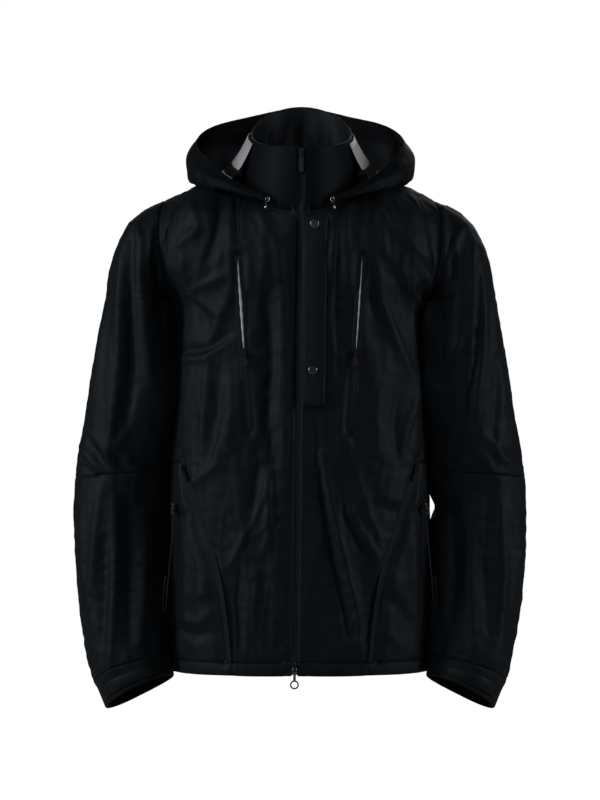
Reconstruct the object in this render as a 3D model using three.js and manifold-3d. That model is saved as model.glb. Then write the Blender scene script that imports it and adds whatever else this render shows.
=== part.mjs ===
// Hooded hardshell jacket, zipped up and hanging in its worn shape, as a three.js scene.
// Millimetres, +Z up. The front faces -Y and the wearer's left is +X. Origin: centre of the hem plane.
import * as THREE from "three";
import { mergeVertices } from "three/addons/utils/BufferGeometryUtils.js";
import Module from "manifold-3d";

const wasm = await Module();
wasm.setup();

// ---------------------------------------------------------------- driving dimensions

const fabric = 2; // wall of every fabric solid
const armpitZ = 554;
const hemHeight = 20;
const sideSeamGap = 0.004; // share of a panel's width left open at a seam
const closureBottom = new THREE.Vector3(-8, -146, 2); // centre-front zip line
const closureTop = new THREE.Vector3(2, -106, 778);
const neckFrontZ = 685;
const neckSideHalf = 88;
const neckSideZ = 745;
const neckBackZ = 752;
const neckBackY = 78;
const neckSideY = 5;
const shoulderTip = new THREE.Vector3(200, 5, 706);
const collarTopHalf = 77;
const collarBackTop = 72; // how much higher the collar's back edge is than its front
const armholeDepth = 67;
const armholeBow = 14; // how far the armhole's front and back stand out beyond its ends

const tapeInner = 0.9; // half of the gap between two zip tapes
const coilWidth = 2.4;
const coilDepth = 2.5;
const exposedZip = 4.6; // half-width of the slot in the fabric over a zip
const sliderHalf = 4;
const hingeOut = 4.6; // distance of a pull's hinge in front of its tape
const pinRadius = 0.95;

const pullFlip = { ring: 6.6, hole: 4.4 };

// ---------------------------------------------------------------- small maths

const vec = (x, y, z) => new THREE.Vector3(x, y, z);
const lerp = THREE.MathUtils.lerp;
const mix = (a, b, t) => a.clone().lerp(b, t);
const rad = THREE.MathUtils.degToRad;

// A smooth value through [position, value] knots.
function profile(knots) {
  const slope = (i) => {
    const a = knots[Math.max(i - 1, 0)];
    const b = knots[Math.min(i + 1, knots.length - 1)];
    return (b[1] - a[1]) / (b[0] - a[0]);
  };
  return (x) => {
    const at = THREE.MathUtils.clamp(x, knots[0][0], knots.at(-1)[0]);
    let i = 0;
    while (i < knots.length - 2 && at > knots[i + 1][0]) i++;
    const [x0, y0] = knots[i];
    const [x1, y1] = knots[i + 1];
    const w = x1 - x0;
    const t = (at - x0) / w;
    const h = t * t * (3 - 2 * t);
    return lerp(y0, y1, h) + w * (slope(i) * t * (1 - t) ** 2 - slope(i + 1) * t * t * (1 - t));
  };
}

const spline = (points) => new THREE.CatmullRomCurve3(points, false, "catmullrom", 0.5);

// ---------------------------------------------------------------- solids

function toSolid(geometry) {
  const bare = geometry.index ? geometry.toNonIndexed() : geometry.clone();
  for (const name of Object.keys(bare.attributes)) {
    if (name !== "position") bare.deleteAttribute(name);
  }
  const merged = mergeVertices(bare, 1e-4);
  const solid = new wasm.Manifold(
    new wasm.Mesh({
      numProp: 3,
      vertProperties: merged.attributes.position.array,
      triVerts: new Uint32Array(merged.index.array),
    }),
  );
  return solid;
}

function toGeometry(solid) {
  const mesh = solid.getMesh();
  const positions = new Float32Array(mesh.numVert * 3);
  for (let i = 0; i < mesh.numVert; i++) {
    positions.set(mesh.vertProperties.subarray(i * mesh.numProp, i * mesh.numProp + 3), i * 3);
  }
  const geometry = new THREE.BufferGeometry();
  geometry.setAttribute("position", new THREE.BufferAttribute(positions, 3));
  geometry.setIndex(new THREE.BufferAttribute(mesh.triVerts, 1));
  geometry.computeVertexNormals();
  return geometry;
}

// A closed geometry from a list of points and quads, turned to face outwards.
function closedGeometry(points, quads) {
  const faces = quads.flatMap(([a, b, c, d]) => [a, b, c, a, c, d]);
  let sixVolumes = 0;
  for (let i = 0; i < faces.length; i += 3) {
    const [a, b, c] = [points[faces[i]], points[faces[i + 1]], points[faces[i + 2]]];
    sixVolumes += a.dot(b.clone().cross(c));
  }
  if (sixVolumes < 0) faces.reverse();
  const geometry = new THREE.BufferGeometry();
  geometry.setAttribute(
    "position",
    new THREE.Float32BufferAttribute(
      points.flatMap((p) => p.toArray()),
      3,
    ),
  );
  geometry.setIndex(faces);
  geometry.computeVertexNormals();
  return geometry;
}

// A fabric sheet: the surface place(u, v) for u and v from 0 to 1, with a wall of the given thickness
// laid on the side that inward(point) points to. Neighbours that share an edge share its wall too.
function sheet(place, across, along, inward, thickness = fabric, offset = 0) {
  const points = [];
  const index = (side, i, j) => (side * (across + 1) + i) * (along + 1) + j;
  for (const depth of [offset, offset + thickness]) {
    for (let i = 0; i <= across; i++) {
      for (let j = 0; j <= along; j++) {
        const p = place(i / across, j / along);
        points.push(p.clone().addScaledVector(inward(p), depth));
      }
    }
  }
  const quads = [];
  for (let i = 0; i < across; i++) {
    for (let j = 0; j < along; j++) {
      quads.push([index(0, i, j), index(0, i + 1, j), index(0, i + 1, j + 1), index(0, i, j + 1)]);
      quads.push([index(1, i, j), index(1, i, j + 1), index(1, i + 1, j + 1), index(1, i + 1, j)]);
    }
  }
  for (let i = 0; i < across; i++) {
    quads.push([index(0, i, 0), index(1, i, 0), index(1, i + 1, 0), index(0, i + 1, 0)]);
    quads.push([index(0, i, along), index(0, i + 1, along), index(1, i + 1, along), index(1, i, along)]);
  }
  for (let j = 0; j < along; j++) {
    quads.push([index(0, 0, j), index(0, 0, j + 1), index(1, 0, j + 1), index(1, 0, j)]);
    quads.push([index(0, across, j), index(1, across, j), index(1, across, j + 1), index(0, across, j + 1)]);
  }
  return closedGeometry(points, quads);
}

// An open tube of fabric through rings of points, its wall laid towards each ring's centre.
function tube(rings, thickness = fabric, offset = 0) {
  const count = rings[0].points.length;
  const points = [];
  for (const depth of [offset, offset + thickness]) {
    for (const ring of rings) {
      for (const p of ring.points) {
        const inward = ring.centre.clone().sub(p).normalize();
        points.push(p.clone().addScaledVector(inward, depth));
      }
    }
  }
  const last = rings.length - 1;
  const index = (side, r, k) => (side * rings.length + r) * count + (k % count);
  const quads = [];
  for (let k = 0; k < count; k++) {
    for (let r = 0; r < last; r++) {
      quads.push([index(0, r, k), index(0, r, k + 1), index(0, r + 1, k + 1), index(0, r + 1, k)]);
      quads.push([index(1, r, k), index(1, r + 1, k), index(1, r + 1, k + 1), index(1, r, k + 1)]);
    }
    quads.push([index(0, 0, k), index(1, 0, k), index(1, 0, k + 1), index(0, 0, k + 1)]);
    quads.push([index(0, last, k), index(0, last, k + 1), index(1, last, k + 1), index(1, last, k)]);
  }
  return closedGeometry(points, quads);
}

// A section of [across, out] points swept through frames { p, side, out }. Its ends are fans about the
// section's first point.
function sweep(frames, section) {
  const points = frames.flatMap(({ p, side, out }) =>
    section.map(([across, outwards]) => p.clone().addScaledVector(side, across).addScaledVector(out, outwards)),
  );
  const count = section.length;
  const end = (frames.length - 1) * count;
  const quads = [];
  for (let k = 1; k < count - 1; k++) {
    quads.push([0, k, k + 1, k + 1], [end, end + k + 1, end + k, end + k]);
  }
  for (let f = 0; f < end; f += count) {
    for (let k = 0; k < count; k++) {
      const next = (k + 1) % count;
      quads.push([f + next, f + k, f + count + k, f + count + next]);
    }
  }
  return closedGeometry(points, quads);
}

// A rectangular bar from a to b across and from low to high outwards.
const bar = (frames, a, b, low, high) => sweep(frames, [[a, low], [b, low], [b, high], [a, high]]);

// A round cord of the given radius along a curve.
function cord(curve, radius, steps, sides = 6) {
  const rings = [];
  const frames = curve.computeFrenetFrames(steps, false);
  for (let i = 0; i <= steps; i++) {
    const centre = curve.getPointAt(i / steps);
    rings.push(
      Array.from({ length: sides }, (_, k) => {
        const angle = (2 * Math.PI * k) / sides;
        return centre
          .clone()
          .addScaledVector(frames.normals[i], radius * Math.cos(angle))
          .addScaledVector(frames.binormals[i], radius * Math.sin(angle));
      }),
    );
  }
  const points = rings.flat();
  points.push(curve.getPointAt(0), curve.getPointAt(1));
  const quads = [];
  for (let i = 0; i < steps; i++) {
    for (let k = 0; k < sides; k++) {
      const n = (k + 1) % sides;
      quads.push([i * sides + k, i * sides + n, (i + 1) * sides + n, (i + 1) * sides + k]);
    }
  }
  const foot = points.length - 2;
  for (let k = 0; k < sides; k++) {
    const n = (k + 1) % sides;
    quads.push([foot, n, k, k]);
    quads.push([foot + 1, steps * sides + k, steps * sides + n, steps * sides + n]);
  }
  return closedGeometry(points, quads);
}

// ---------------------------------------------------------------- the torso's form

const halfWidth = profile([[0, 197], [250, 196], [450, 189], [armpitZ, 188]]);
const backDepth = profile([[0, 122], [250, 116], [480, 134], [armpitZ, 136]]);
const closureAt = (z) => {
  const share = (z - closureBottom.z) / (closureTop.z - closureBottom.z);
  return mix(closureBottom, closureTop, share);
};
const roundness = 2.4; // exponent of the torso's section

// A quarter of the torso's section at height z: s runs from the centre line (0) to the side (1).
function quarter(face, side, s, z) {
  const angle = (s * Math.PI) / 2;
  const along = Math.sin(angle) ** (2 / roundness);
  const deep = Math.cos(angle) ** (2 / roundness);
  const front = closureAt(z);
  const middle = face === "front" ? front.x : 0;
  const depth = face === "front" ? front.y : backDepth(z);
  return vec(lerp(middle, side * halfWidth(z), along), depth * deep, z);
}

// The seam where collar meets body: angle 0 is centre front, 90 the shoulder, 180 centre back.
function neckSeam(side, degrees) {
  const sine = Math.sin(rad(degrees));
  const cosine = Math.cos(rad(degrees));
  const front = closureAt(neckFrontZ);
  if (degrees <= 90) {
    return vec(
      lerp(front.x, side * neckSideHalf, sine),
      lerp(neckSideY, front.y, cosine),
      lerp(neckSideZ, neckFrontZ, cosine),
    );
  }
  return vec(side * neckSideHalf * sine, lerp(neckSideY, neckBackY, -cosine), lerp(neckSideZ, neckBackZ, -cosine));
}

// The torso's top edge: the neck seam, then the shoulder seam out to the shoulder tip.
const neckShare = 0.42;
function topEdge(face, side, s) {
  if (s <= neckShare) {
    const turn = 90 * (s / neckShare);
    return neckSeam(side, face === "front" ? turn : 180 - turn);
  }
  const share = (s - neckShare) / (1 - neckShare);
  const tip = vec(side * shoulderTip.x, shoulderTip.y, shoulderTip.z);
  const p = mix(neckSeam(side, 90), tip, share);
  p.z += 7 * Math.sin(Math.PI * share);
  return p;
}

// The armhole: 0 at the armpit, 1 at the shoulder tip.
function armhole(face, side, share) {
  const angle = Math.PI * share;
  const deep = (face === "front" ? -1 : 1) * armholeDepth * Math.sin(angle);
  return vec(
    side * (halfWidth(armpitZ) + 12 * share + armholeBow * Math.sin(angle)),
    deep + shoulderTip.y * share,
    lerp(armpitZ, shoulderTip.z, (1 - Math.cos(angle)) / 2),
  );
}

function centreLine(face, share) {
  if (face === "front") return closureAt(lerp(armpitZ, neckFrontZ, share));
  const y = lerp(backDepth(armpitZ), neckBackY, share) + 16 * Math.sin(Math.PI * share);
  return vec(0, y, lerp(armpitZ, neckBackZ, share));
}

const bulge = { front: vec(0, -19, 17), back: vec(0, 24, 18) };

// A point of the torso: s from centre line to side, z the height it would have below the armpit, where
// values above armpitZ run on over the chest or shoulder blades to the top edge at shellTop.
const shellTop = 740;
function torso(face, side, s, z) {
  if (z <= armpitZ) return quarter(face, side, s, z);
  const share = (z - armpitZ) / (shellTop - armpitZ);
  const across = mix(quarter(face, side, s, armpitZ), topEdge(face, side, s), share);
  const upright = mix(centreLine(face, share), armhole(face, side, share), s);
  const low = mix(quarter(face, side, 0, armpitZ), quarter(face, side, 1, armpitZ), s);
  const high = mix(topEdge(face, side, 0), topEdge(face, side, 1), s);
  const p = across.add(upright).sub(mix(low, high, share));
  return p.addScaledVector(bulge[face], Math.sin(Math.PI * share) * Math.sin(Math.PI * s) ** 2);
}

const towardsCore = (p) => vec(0, 10, Math.min(p.z, armpitZ)).sub(p).normalize();

// Where the front of the body lies at a given x and height, below the armpit.
function frontAt(x, z) {
  const middle = closureAt(z);
  const share = Math.abs((x - middle.x) / (Math.sign(x) * halfWidth(z) - middle.x));
  return vec(x, middle.y * (1 - share ** roundness) ** (1 / roundness), z);
}

// ---------------------------------------------------------------- zip lines

// Frames along a line of points, for a bar laid on the body's front.
function framesOf(points, outward) {
  return points.map((p, i) => {
    const ahead = points[Math.min(i + 1, points.length - 1)];
    const behind = points[Math.max(i - 1, 0)];
    const along = ahead.clone().sub(behind).normalize();
    const out = outward(p).addScaledVector(along, -outward(p).dot(along)).normalize();
    return { p, side: along.clone().cross(out), out };
  });
}

const straightOut = () => vec(0, -1, 0);
const awayFromCore = (p) => vec(p.x * 0.9, p.y, 0).normalize();

const closure = framesOf([closureBottom, closureTop], straightOut);

// Chest zips run straight down the chest, leaning in towards the hem.
const chestZip = { low: vec(75, 0, 362), high: vec(92, 0, 616), out: 3 };
function chestLine(side) {
  return [chestZip.low, chestZip.high].map((end) => {
    const z = end.z;
    const s = z > armpitZ ? 0.3 : 0;
    const p = z > armpitZ ? torso("front", side, s, z + 12) : frontAt(side * end.x, z);
    return vec(side * end.x, p.y + fabric, z);
  });
}

// Pocket zips run straight down and in from the waist, then bend towards the hem.
const pocketZip = { top: [176, 314], bend: [131, 172], foot: [107, 24], bendReach: 56 };
function pocketLine(side) {
  const inset = (x, z) => {
    const p = frontAt(side * x, z);
    return p.addScaledVector(awayFromCore(p), -fabric);
  };
  const top = inset(...pocketZip.top);
  const bend = inset(...pocketZip.bend);
  const foot = inset(...pocketZip.foot);
  const control = bend.clone().addScaledVector(bend.clone().sub(top).normalize(), pocketZip.bendReach);
  const bow = new THREE.QuadraticBezierCurve3(bend, control, foot);
  return { straight: [bend, top], bow: bow.getPoints(6).reverse(), out: awayFromCore(mix(bend, top, 0.6)) };
}

// Both tapes of a zip with the coil behind them, as L sections either side of a gap.
function zipTapes(frames, tapeHalf) {
  const coilEdge = tapeInner + coilWidth;
  const section = [
    [coilEdge, -1.4],
    [tapeHalf, -1.4],
    [tapeHalf, -0.4],
    [tapeInner, -0.4],
    [tapeInner, -1.2 - coilDepth],
    [coilEdge, -1.2 - coilDepth],
  ];
  return [-1, 1].map((hand) => sweep(frames, section.map(([across, out]) => [hand * across, out])));
}

// The room a zip takes in the fabric: a slot for the slider and a shallow seat for the tapes.
function zipRoom(frames, tapeHalf) {
  const stretched = [...frames];
  const grow = (end, from) => {
    const along = end.p.clone().sub(from.p).normalize();
    return { ...end, p: end.p.clone().addScaledVector(along, 6) };
  };
  stretched[0] = grow(frames[0], frames[1]);
  stretched[frames.length - 1] = grow(frames.at(-1), frames.at(-2));
  const slot = toSolid(bar(stretched, -exposedZip, exposedZip, -12, 16));
  const seat = toSolid(bar(stretched, -tapeHalf - 0.7, tapeHalf + 0.7, -4.6, -0.1));
  return slot.add(seat);
}

// ---------------------------------------------------------------- zip sliders and pulls
// Drawn about the slider's centre: +Z up the zip, -Y out of the jacket.

const block = (w, d, h, x, y, z) => toSolid(new THREE.BoxGeometry(w, d, h).translate(x, y, z));
const acrossRod = (radius, width, z = 0, sides = 8) =>
  toSolid(
    new THREE.CylinderGeometry(radius, radius, width, sides).rotateZ(Math.PI / 2).translate(0, -hingeOut, z),
  );

function sliderBody(neckEnd) {
  const outline = new THREE.Shape();
  outline.moveTo(-sliderHalf, 5);
  outline.quadraticCurveTo(-sliderHalf, 8, 0, 8);
  outline.quadraticCurveTo(sliderHalf, 8, sliderHalf, 5);
  outline.lineTo(2.8, -7);
  outline.lineTo(-2.8, -7);
  const plate = (depth, out) =>
    toSolid(
      new THREE.ExtrudeGeometry(outline, { depth, bevelEnabled: false, curveSegments: 3 })
        .rotateX(Math.PI / 2)
        .translate(0, -out, 0),
    );
  const face = plate(1.8, 0.2);
  const back = plate(1.6, -5.8);
  const neck = block(1.2, 7.6, 4, 0, 1.9, 5);
  const lug = block(3.2, 4.6, 7, 0, -4.2, 0).subtract(acrossRod(pinRadius + 0.3, 8));
  const solid = face.add(back).add(neck).add(lug);
  return toGeometry(neckEnd === "up" ? solid : solid.mirror([0, 0, 1]));
}

// The pull hangs from a pin through the slider's lug. ring: it ends in a finger ring, not a tab.
function pullTab(length, ring) {
  const thick = 1.8;
  const pin = acrossRod(pinRadius, 5);
  const eye = (x) =>
    toSolid(new THREE.CylinderGeometry(1.9, 1.9, 1.2, 8).rotateZ(Math.PI / 2).translate(x, -hingeOut, 0));
  const arm = (x) => block(1.2, thick, 5.4, x, -hingeOut, -3);
  const bridge = block(6.4, thick, 3, 0, -hingeOut, -6.6);
  let solid = pin.add(eye(2.6)).add(eye(-2.6)).add(arm(2.6)).add(arm(-2.6)).add(bridge);
  if (ring) {
    const disc = (r, w) =>
      toSolid(new THREE.CylinderGeometry(r, r, w, 20).translate(0, -hingeOut, -length + pullFlip.ring));
    const stem = block(4, thick, length - 2 * pullFlip.ring - 4, 0, -hingeOut, -(length - 2 * pullFlip.ring + 6) / 2);
    return toGeometry(solid.add(stem).add(disc(pullFlip.ring, thick)).subtract(disc(pullFlip.hole, thick + 2)));
  }
  const tab = new THREE.Shape();
  tab.moveTo(-2.6, -6);
  tab.lineTo(-3.6, -11);
  tab.lineTo(-3.6, 2.4 - length);
  tab.quadraticCurveTo(-3.6, -length, 0, -length);
  tab.quadraticCurveTo(3.6, -length, 3.6, 2.4 - length);
  tab.lineTo(3.6, -11);
  tab.lineTo(2.6, -6);
  const plate = new THREE.ExtrudeGeometry(tab, { depth: thick, bevelEnabled: false, curveSegments: 3 })
    .rotateX(Math.PI / 2)
    .translate(0, -hingeOut + thick / 2, 0);
  return toGeometry(solid.add(toSolid(plate)));
}

// ---------------------------------------------------------------- sleeves

// Stations down a sleeve: the inner and outer edge as [x, z], then centre y, half depth, pitch in degrees.
const sleeveStations = [
  [190, 554, 200, 706, 4, 67, 0],
  [193, 551, 238, 687, 3, 69, 0],
  [195, 549, 268, 652, 2, 70, 0],
  [196, 547, 286, 606, 2, 71, 0],
  [197, 542, 294, 552, 2, 72, 0],
  [195, 480, 307, 482, 4, 72, 0],
  [197, 400, 321, 400, 6, 71, 1],
  [205, 298, 338, 290, 8, 69, 3],
  [207, 196, 339, 186, -2, 66, 7],
  [207, 106, 329, 84, -20, 60, 10],
  [206, 34, 313, 4, -44, 53, 12],
  [197, -6, 290, -54, -60, 47, 14],
];
const inner = spline(sleeveStations.map(([x, z, , , y]) => vec(x, y, z)));
const outer = spline(sleeveStations.map(([, , x, z, y]) => vec(x, y, z)));
const depthAndPitch = spline(sleeveStations.map(([, , , , , half, pitch]) => vec(half, pitch, 0)));
const lastStation = sleeveStations.length - 1;

function sleeveRing(side, station, count = 14, swell = 0) {
  const share = station / lastStation;
  const low = inner.getPoint(share);
  const high = outer.getPoint(share);
  const { x: half, y: pitch } = depthAndPitch.getPoint(share);
  const centre = mix(low, high, 0.5);
  const reach = high.clone().sub(centre);
  reach.setLength(reach.length() + swell);
  const back = vec(0, Math.cos(rad(pitch)), -Math.sin(rad(pitch)));
  const points = Array.from({ length: count }, (_, k) => {
    const angle = (2 * Math.PI * k) / count;
    const p = centre
      .clone()
      .addScaledVector(reach, Math.cos(angle))
      .addScaledVector(back, (half + swell) * Math.sin(angle));
    p.x += armholeBow * Math.abs(Math.sin(angle)) * Math.max(0, 1 - station / 3);
    p.x *= side;
    return p;
  });
  centre.x *= side;
  return { centre, points };
}

const stationsBetween = (from, to, count) => Array.from({ length: count + 1 }, (_, i) => lerp(from, to, i / count));
const sleevePart = (side, from, to, rings) =>
  tube(stationsBetween(from, to, rings).map((station) => sleeveRing(side, station)));

// The cuff tab wraps the outside and front of the cuff. It is sewn at its back end.
const cuffTab = { from: -28, to: -122, low: 10.86, high: 10.52, lift: 1.2, thick: 2.2 };
function cuffTabAt(side, share, up) {
  const station = lerp(cuffTab.low, cuffTab.high, up);
  const ring = sleeveRing(side, station, 360, cuffTab.lift);
  const degrees = lerp(cuffTab.from, cuffTab.to, share);
  return ring.points[(Math.round(degrees) + 360) % 360];
}

// ---------------------------------------------------------------- collar and hood

// The collar's top edge: angle 0 is centre front, 180 centre back.
function collarTop(side, degrees) {
  const sine = Math.sin(rad(degrees));
  const cosine = Math.cos(rad(degrees));
  const y = degrees <= 90 ? lerp(-5, closureTop.y, cosine) : lerp(-5, 82, -cosine);
  const x = lerp(closureTop.x, closureTop.x + side * collarTopHalf, sine);
  return vec(x, y, closureTop.z + 2 + collarBackTop * ((1 - cosine) / 2) ** 1.6);
}

// Round the whole collar from the wearer's right front (0) past the back (0.5) to the left front (1).
function collar(u, v) {
  const side = u < 0.5 ? -1 : 1;
  const degrees = 360 * (u < 0.5 ? u : 1 - u);
  const p = mix(neckSeam(side, degrees), collarTop(side, degrees), lerp(0.03, 1, v));
  return p.addScaledVector(towardsNeck(p), -3 * Math.sin(Math.PI * v));
}
const towardsNeck = (p) => vec(-p.x, -(p.y + 5), 0).normalize();

// Five rails round the hood on the wearer's left, each from the front corner to centre back.
const hoodRails = {
  seam: [[45, -102, 697], [82, -60, 724], [96, 8, 753], [66, 70, 761], [0, 90, 761]],
  floor: [[47, -106, 697], [106, -68, 722], [140, 10, 739], [108, 118, 736], [0, 160, 732]],
  keel: [[48, -108, 700], [123, -73, 722], [164, 14, 742], [140, 150, 732], [0, 216, 726]],
  wall: [[47, -109, 708], [127, -71, 733], [171, 14, 764], [150, 156, 790], [0, 232, 792]],
  rim: [[44, -106, 724], [110, -64, 754], [157, 15, 792], [122, 138, 848], [0, 200, 868]],
};
const rails = Object.values(hoodRails).map((points) => {
  const right = points.map(([x, y, z]) => vec(-x, y, z));
  const left = points.slice(0, -1).map((p) => vec(...p));
  return spline([...right, ...left.reverse()]);
});

// u runs round the hood from the right front corner (0) past the back to the left (1), v from seam to rim.
const hood = (u, v) => spline(rails.map((rail) => rail.getPoint(u))).getPoint(v);
const hoodFloorV = 0.25;
const towardsHead = (p) => vec(-p.x, 20 - p.y, 800 - p.z).normalize();

// The part of the hood that stays with the neck: all of its floor, and its front corners up to the rim.
const hoodHinge = { u: 0.116, corner: 0.07 };
function hoodBase(u, v) {
  const around = lerp(0.02, 0.98, u);
  const fromFront = Math.min(around, 1 - around);
  const top = fromFront <= hoodHinge.corner ? 1 : hoodFloorV - 0.012;
  return hood(around, v * top);
}

// ---------------------------------------------------------------- the scene

const look = (color, roughness, metalness = 0) => new THREE.MeshStandardMaterial({ color, roughness, metalness });
const shellCloth = look(0x0d0f11, 0.62);
const liningCloth = look(0x141518, 0.75);
const greyCloth = look(0x8b8d90, 0.45);
const tapeCloth = look(0x101214, 0.5);
const darkPlastic = look(0x0c0d0e, 0.35);
const gunmetal = look(0x55585c, 0.3, 1);

const jacket = new THREE.Group();
function add(parent, name, geometry, material) {
  const mesh = new THREE.Mesh(geometry, material);
  mesh.name = name;
  parent.add(mesh);
  return mesh;
}
const sides = [["left", 1], ["right", -1]];

// A group whose +Z runs from one point towards another and whose -Y faces out of the jacket.
function zipGroup([low, high], outward) {
  const group = new THREE.Group();
  const [frame] = framesOf([low, high], outward);
  const up = high.clone().sub(low).normalize();
  const basis = new THREE.Matrix4().makeBasis(frame.side, frame.out.clone().negate(), up);
  group.quaternion.setFromRotationMatrix(basis);
  group.position.copy(low);
  jacket.add(group);
  return group;
}

// Puts a slider and its pull on a zip, the given distance up it.
function addSlider(group, height, name, neckEnd, pullLength, ring = false) {
  const carrier = new THREE.Group();
  carrier.position.z = height;
  group.add(carrier);
  add(carrier, name + "_slider", sliderBody(neckEnd), gunmetal);
  add(carrier, name + "_pull", pullTab(pullLength, ring), ring ? gunmetal : darkPlastic);
}

// Centre-front zip.
const mainTapeHalf = 13;
const closureGroup = zipGroup([closureBottom, closureTop], straightOut);
const closureLength = closureBottom.distanceTo(closureTop);
const [rightTape, leftTape] = zipTapes(closure, mainTapeHalf);
add(jacket, "front_zip_tape_right", rightTape, tapeCloth);
add(jacket, "front_zip_tape_left", leftTape, tapeCloth);
addSlider(closureGroup, closureLength - 9, "front_zip_top", "up", 28);
addSlider(closureGroup, 9, "front_zip_bottom", "down", 30, true);
const closureRoom = zipRoom(closure, mainTapeHalf);

// Torso panels.
const coreSheet = (place, across, along, thickness, offset) =>
  sheet(place, across, along, towardsCore, thickness, offset);
const panelLow = hemHeight + 0.6;
const pocketSlit = 317; // the pocket panel's top edge

for (const [hand, side] of sides) {
  const pocket = pocketLine(side);
  const pocketOut = () => pocket.out.clone();
  const straight = framesOf(pocket.straight, pocketOut);
  const bow = framesOf(pocket.bow, awayFromCore);
  const whole = [...bow.slice(0, -1), ...straight];
  const chest = framesOf(chestLine(side), straightOut);

  const front = toSolid(
    coreSheet((u, v) => torso("front", side, lerp(0, 1 - sideSeamGap, u), lerp(panelLow, shellTop - 1, v)), 9, 13),
  );
  const slit = block(60, 130, 1.2, side * 200, -50, pocketSlit);
  const pieces = front
    .subtract(closureRoom)
    .subtract(zipRoom(whole, 8))
    .subtract(zipRoom(chest, 8))
    .subtract(slit)
    .decompose()
    .sort((a, b) => b.volume() - a.volume());
  add(jacket, "front_panel_" + hand, toGeometry(pieces[0]), shellCloth);
  add(jacket, "pocket_panel_" + hand, toGeometry(pieces[1]), shellCloth);

  // Zips that end in stops, so that both tapes are one piece.
  const closedZip = (frames, name) => {
    const stop = ({ p, side: across, out }, other) => {
      const along = other.p.clone().sub(p).normalize();
      const [near, far] = [1, 4].map((d) => ({ p: p.clone().addScaledVector(along, d), side: across, out }));
      return toSolid(bar([near, far], -2.6, 2.6, -3.9, -0.6));
    };
    const [a, b] = zipTapes(frames, 7.4).map(toSolid);
    const solid = a.add(b).add(stop(frames[0], frames[1])).add(stop(frames.at(-1), frames.at(-2)));
    add(jacket, name, toGeometry(solid), tapeCloth);
  };
  closedZip(whole, "pocket_zip_" + hand);
  closedZip(chest, "chest_zip_" + hand);

  const pocketLength = pocket.straight[0].distanceTo(pocket.straight[1]);
  addSlider(zipGroup(pocket.straight, pocketOut), pocketLength - 12, "pocket_" + hand, "up", 20);
  addSlider(zipGroup([chest[0].p, chest[1].p], straightOut), 112, "chest_" + hand, "up", 20);

  // Pocket bags hang inside the front.
  add(
    jacket,
    "hand_pocket_bag_" + hand,
    coreSheet((u, v) => torso("front", side, lerp(0.34, 0.84, u), lerp(50, 300, v)), 5, 5, 1.2, 20),
    liningCloth,
  );
  add(
    jacket,
    "chest_pocket_bag_" + hand,
    coreSheet((u, v) => torso("front", side, lerp(0.2, 0.56, u), lerp(345, 600, v)), 4, 6, 1.2, 11),
    greyCloth,
  );
}

add(
  jacket,
  "back_panel",
  coreSheet(
    (u, v) => {
      const across = lerp(-1 + sideSeamGap, 1 - sideSeamGap, u);
      return torso("back", across < 0 ? -1 : 1, Math.abs(across), lerp(panelLow, shellTop - 1, v));
    },
    14,
    11,
  ),
  shellCloth,
);

// The hem band runs from the wearer's right front round the back to the left front.
function hemLine(u, z) {
  const part = u * 4;
  const side = part < 2 ? -1 : 1;
  const face = part < 1 || part > 3 ? "front" : "back";
  const s = part < 1 ? part : part < 2 ? 2 - part : part < 3 ? part - 2 : 4 - part;
  return torso(face, side, s, z);
}
const hemBand = toSolid(coreSheet((u, v) => hemLine(u, lerp(0, hemHeight, v)), 28, 1)).subtract(closureRoom);
add(jacket, "hem_band", toGeometry(hemBand), shellCloth);
const hemCordPoints = stationsBetween(0.06, 0.94, 24).map((u) => {
  const p = hemLine(u, 10);
  return p.addScaledVector(towardsCore(p), 5.5);
});
add(jacket, "hem_draw_cord", cord(spline(hemCordPoints), 1.3, 26, 5), liningCloth);

// Collar: an outer stand and its lining, with the hanger loop inside the back.
const outerCollar = toSolid(sheet(collar, 20, 2, towardsNeck)).subtract(closureRoom);
add(jacket, "collar", toGeometry(outerCollar), shellCloth);
const innerCollar = toSolid(sheet(collar, 20, 2, towardsNeck, 1.4, 8.2)).subtract(closureRoom);
add(jacket, "collar_lining", toGeometry(innerCollar), liningCloth);

const loop = { half: 26, height: 8, z: 764, y: 52, thick: 1.6 };
const loopStrap = block(2 * loop.half, loop.thick, loop.height, 0, loop.y, loop.z);
const loopEnd = (side) => {
  const end = block(loop.thick, 16, loop.height, side * (loop.half - loop.thick / 2), loop.y + 7.4, loop.z);
  return end.subtract(toSolid(sheet(collar, 20, 2, towardsNeck, -12, 9.9)));
};
add(jacket, "hanger_loop", toGeometry(loopStrap.add(loopEnd(1)).add(loopEnd(-1))), liningCloth);

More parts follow.
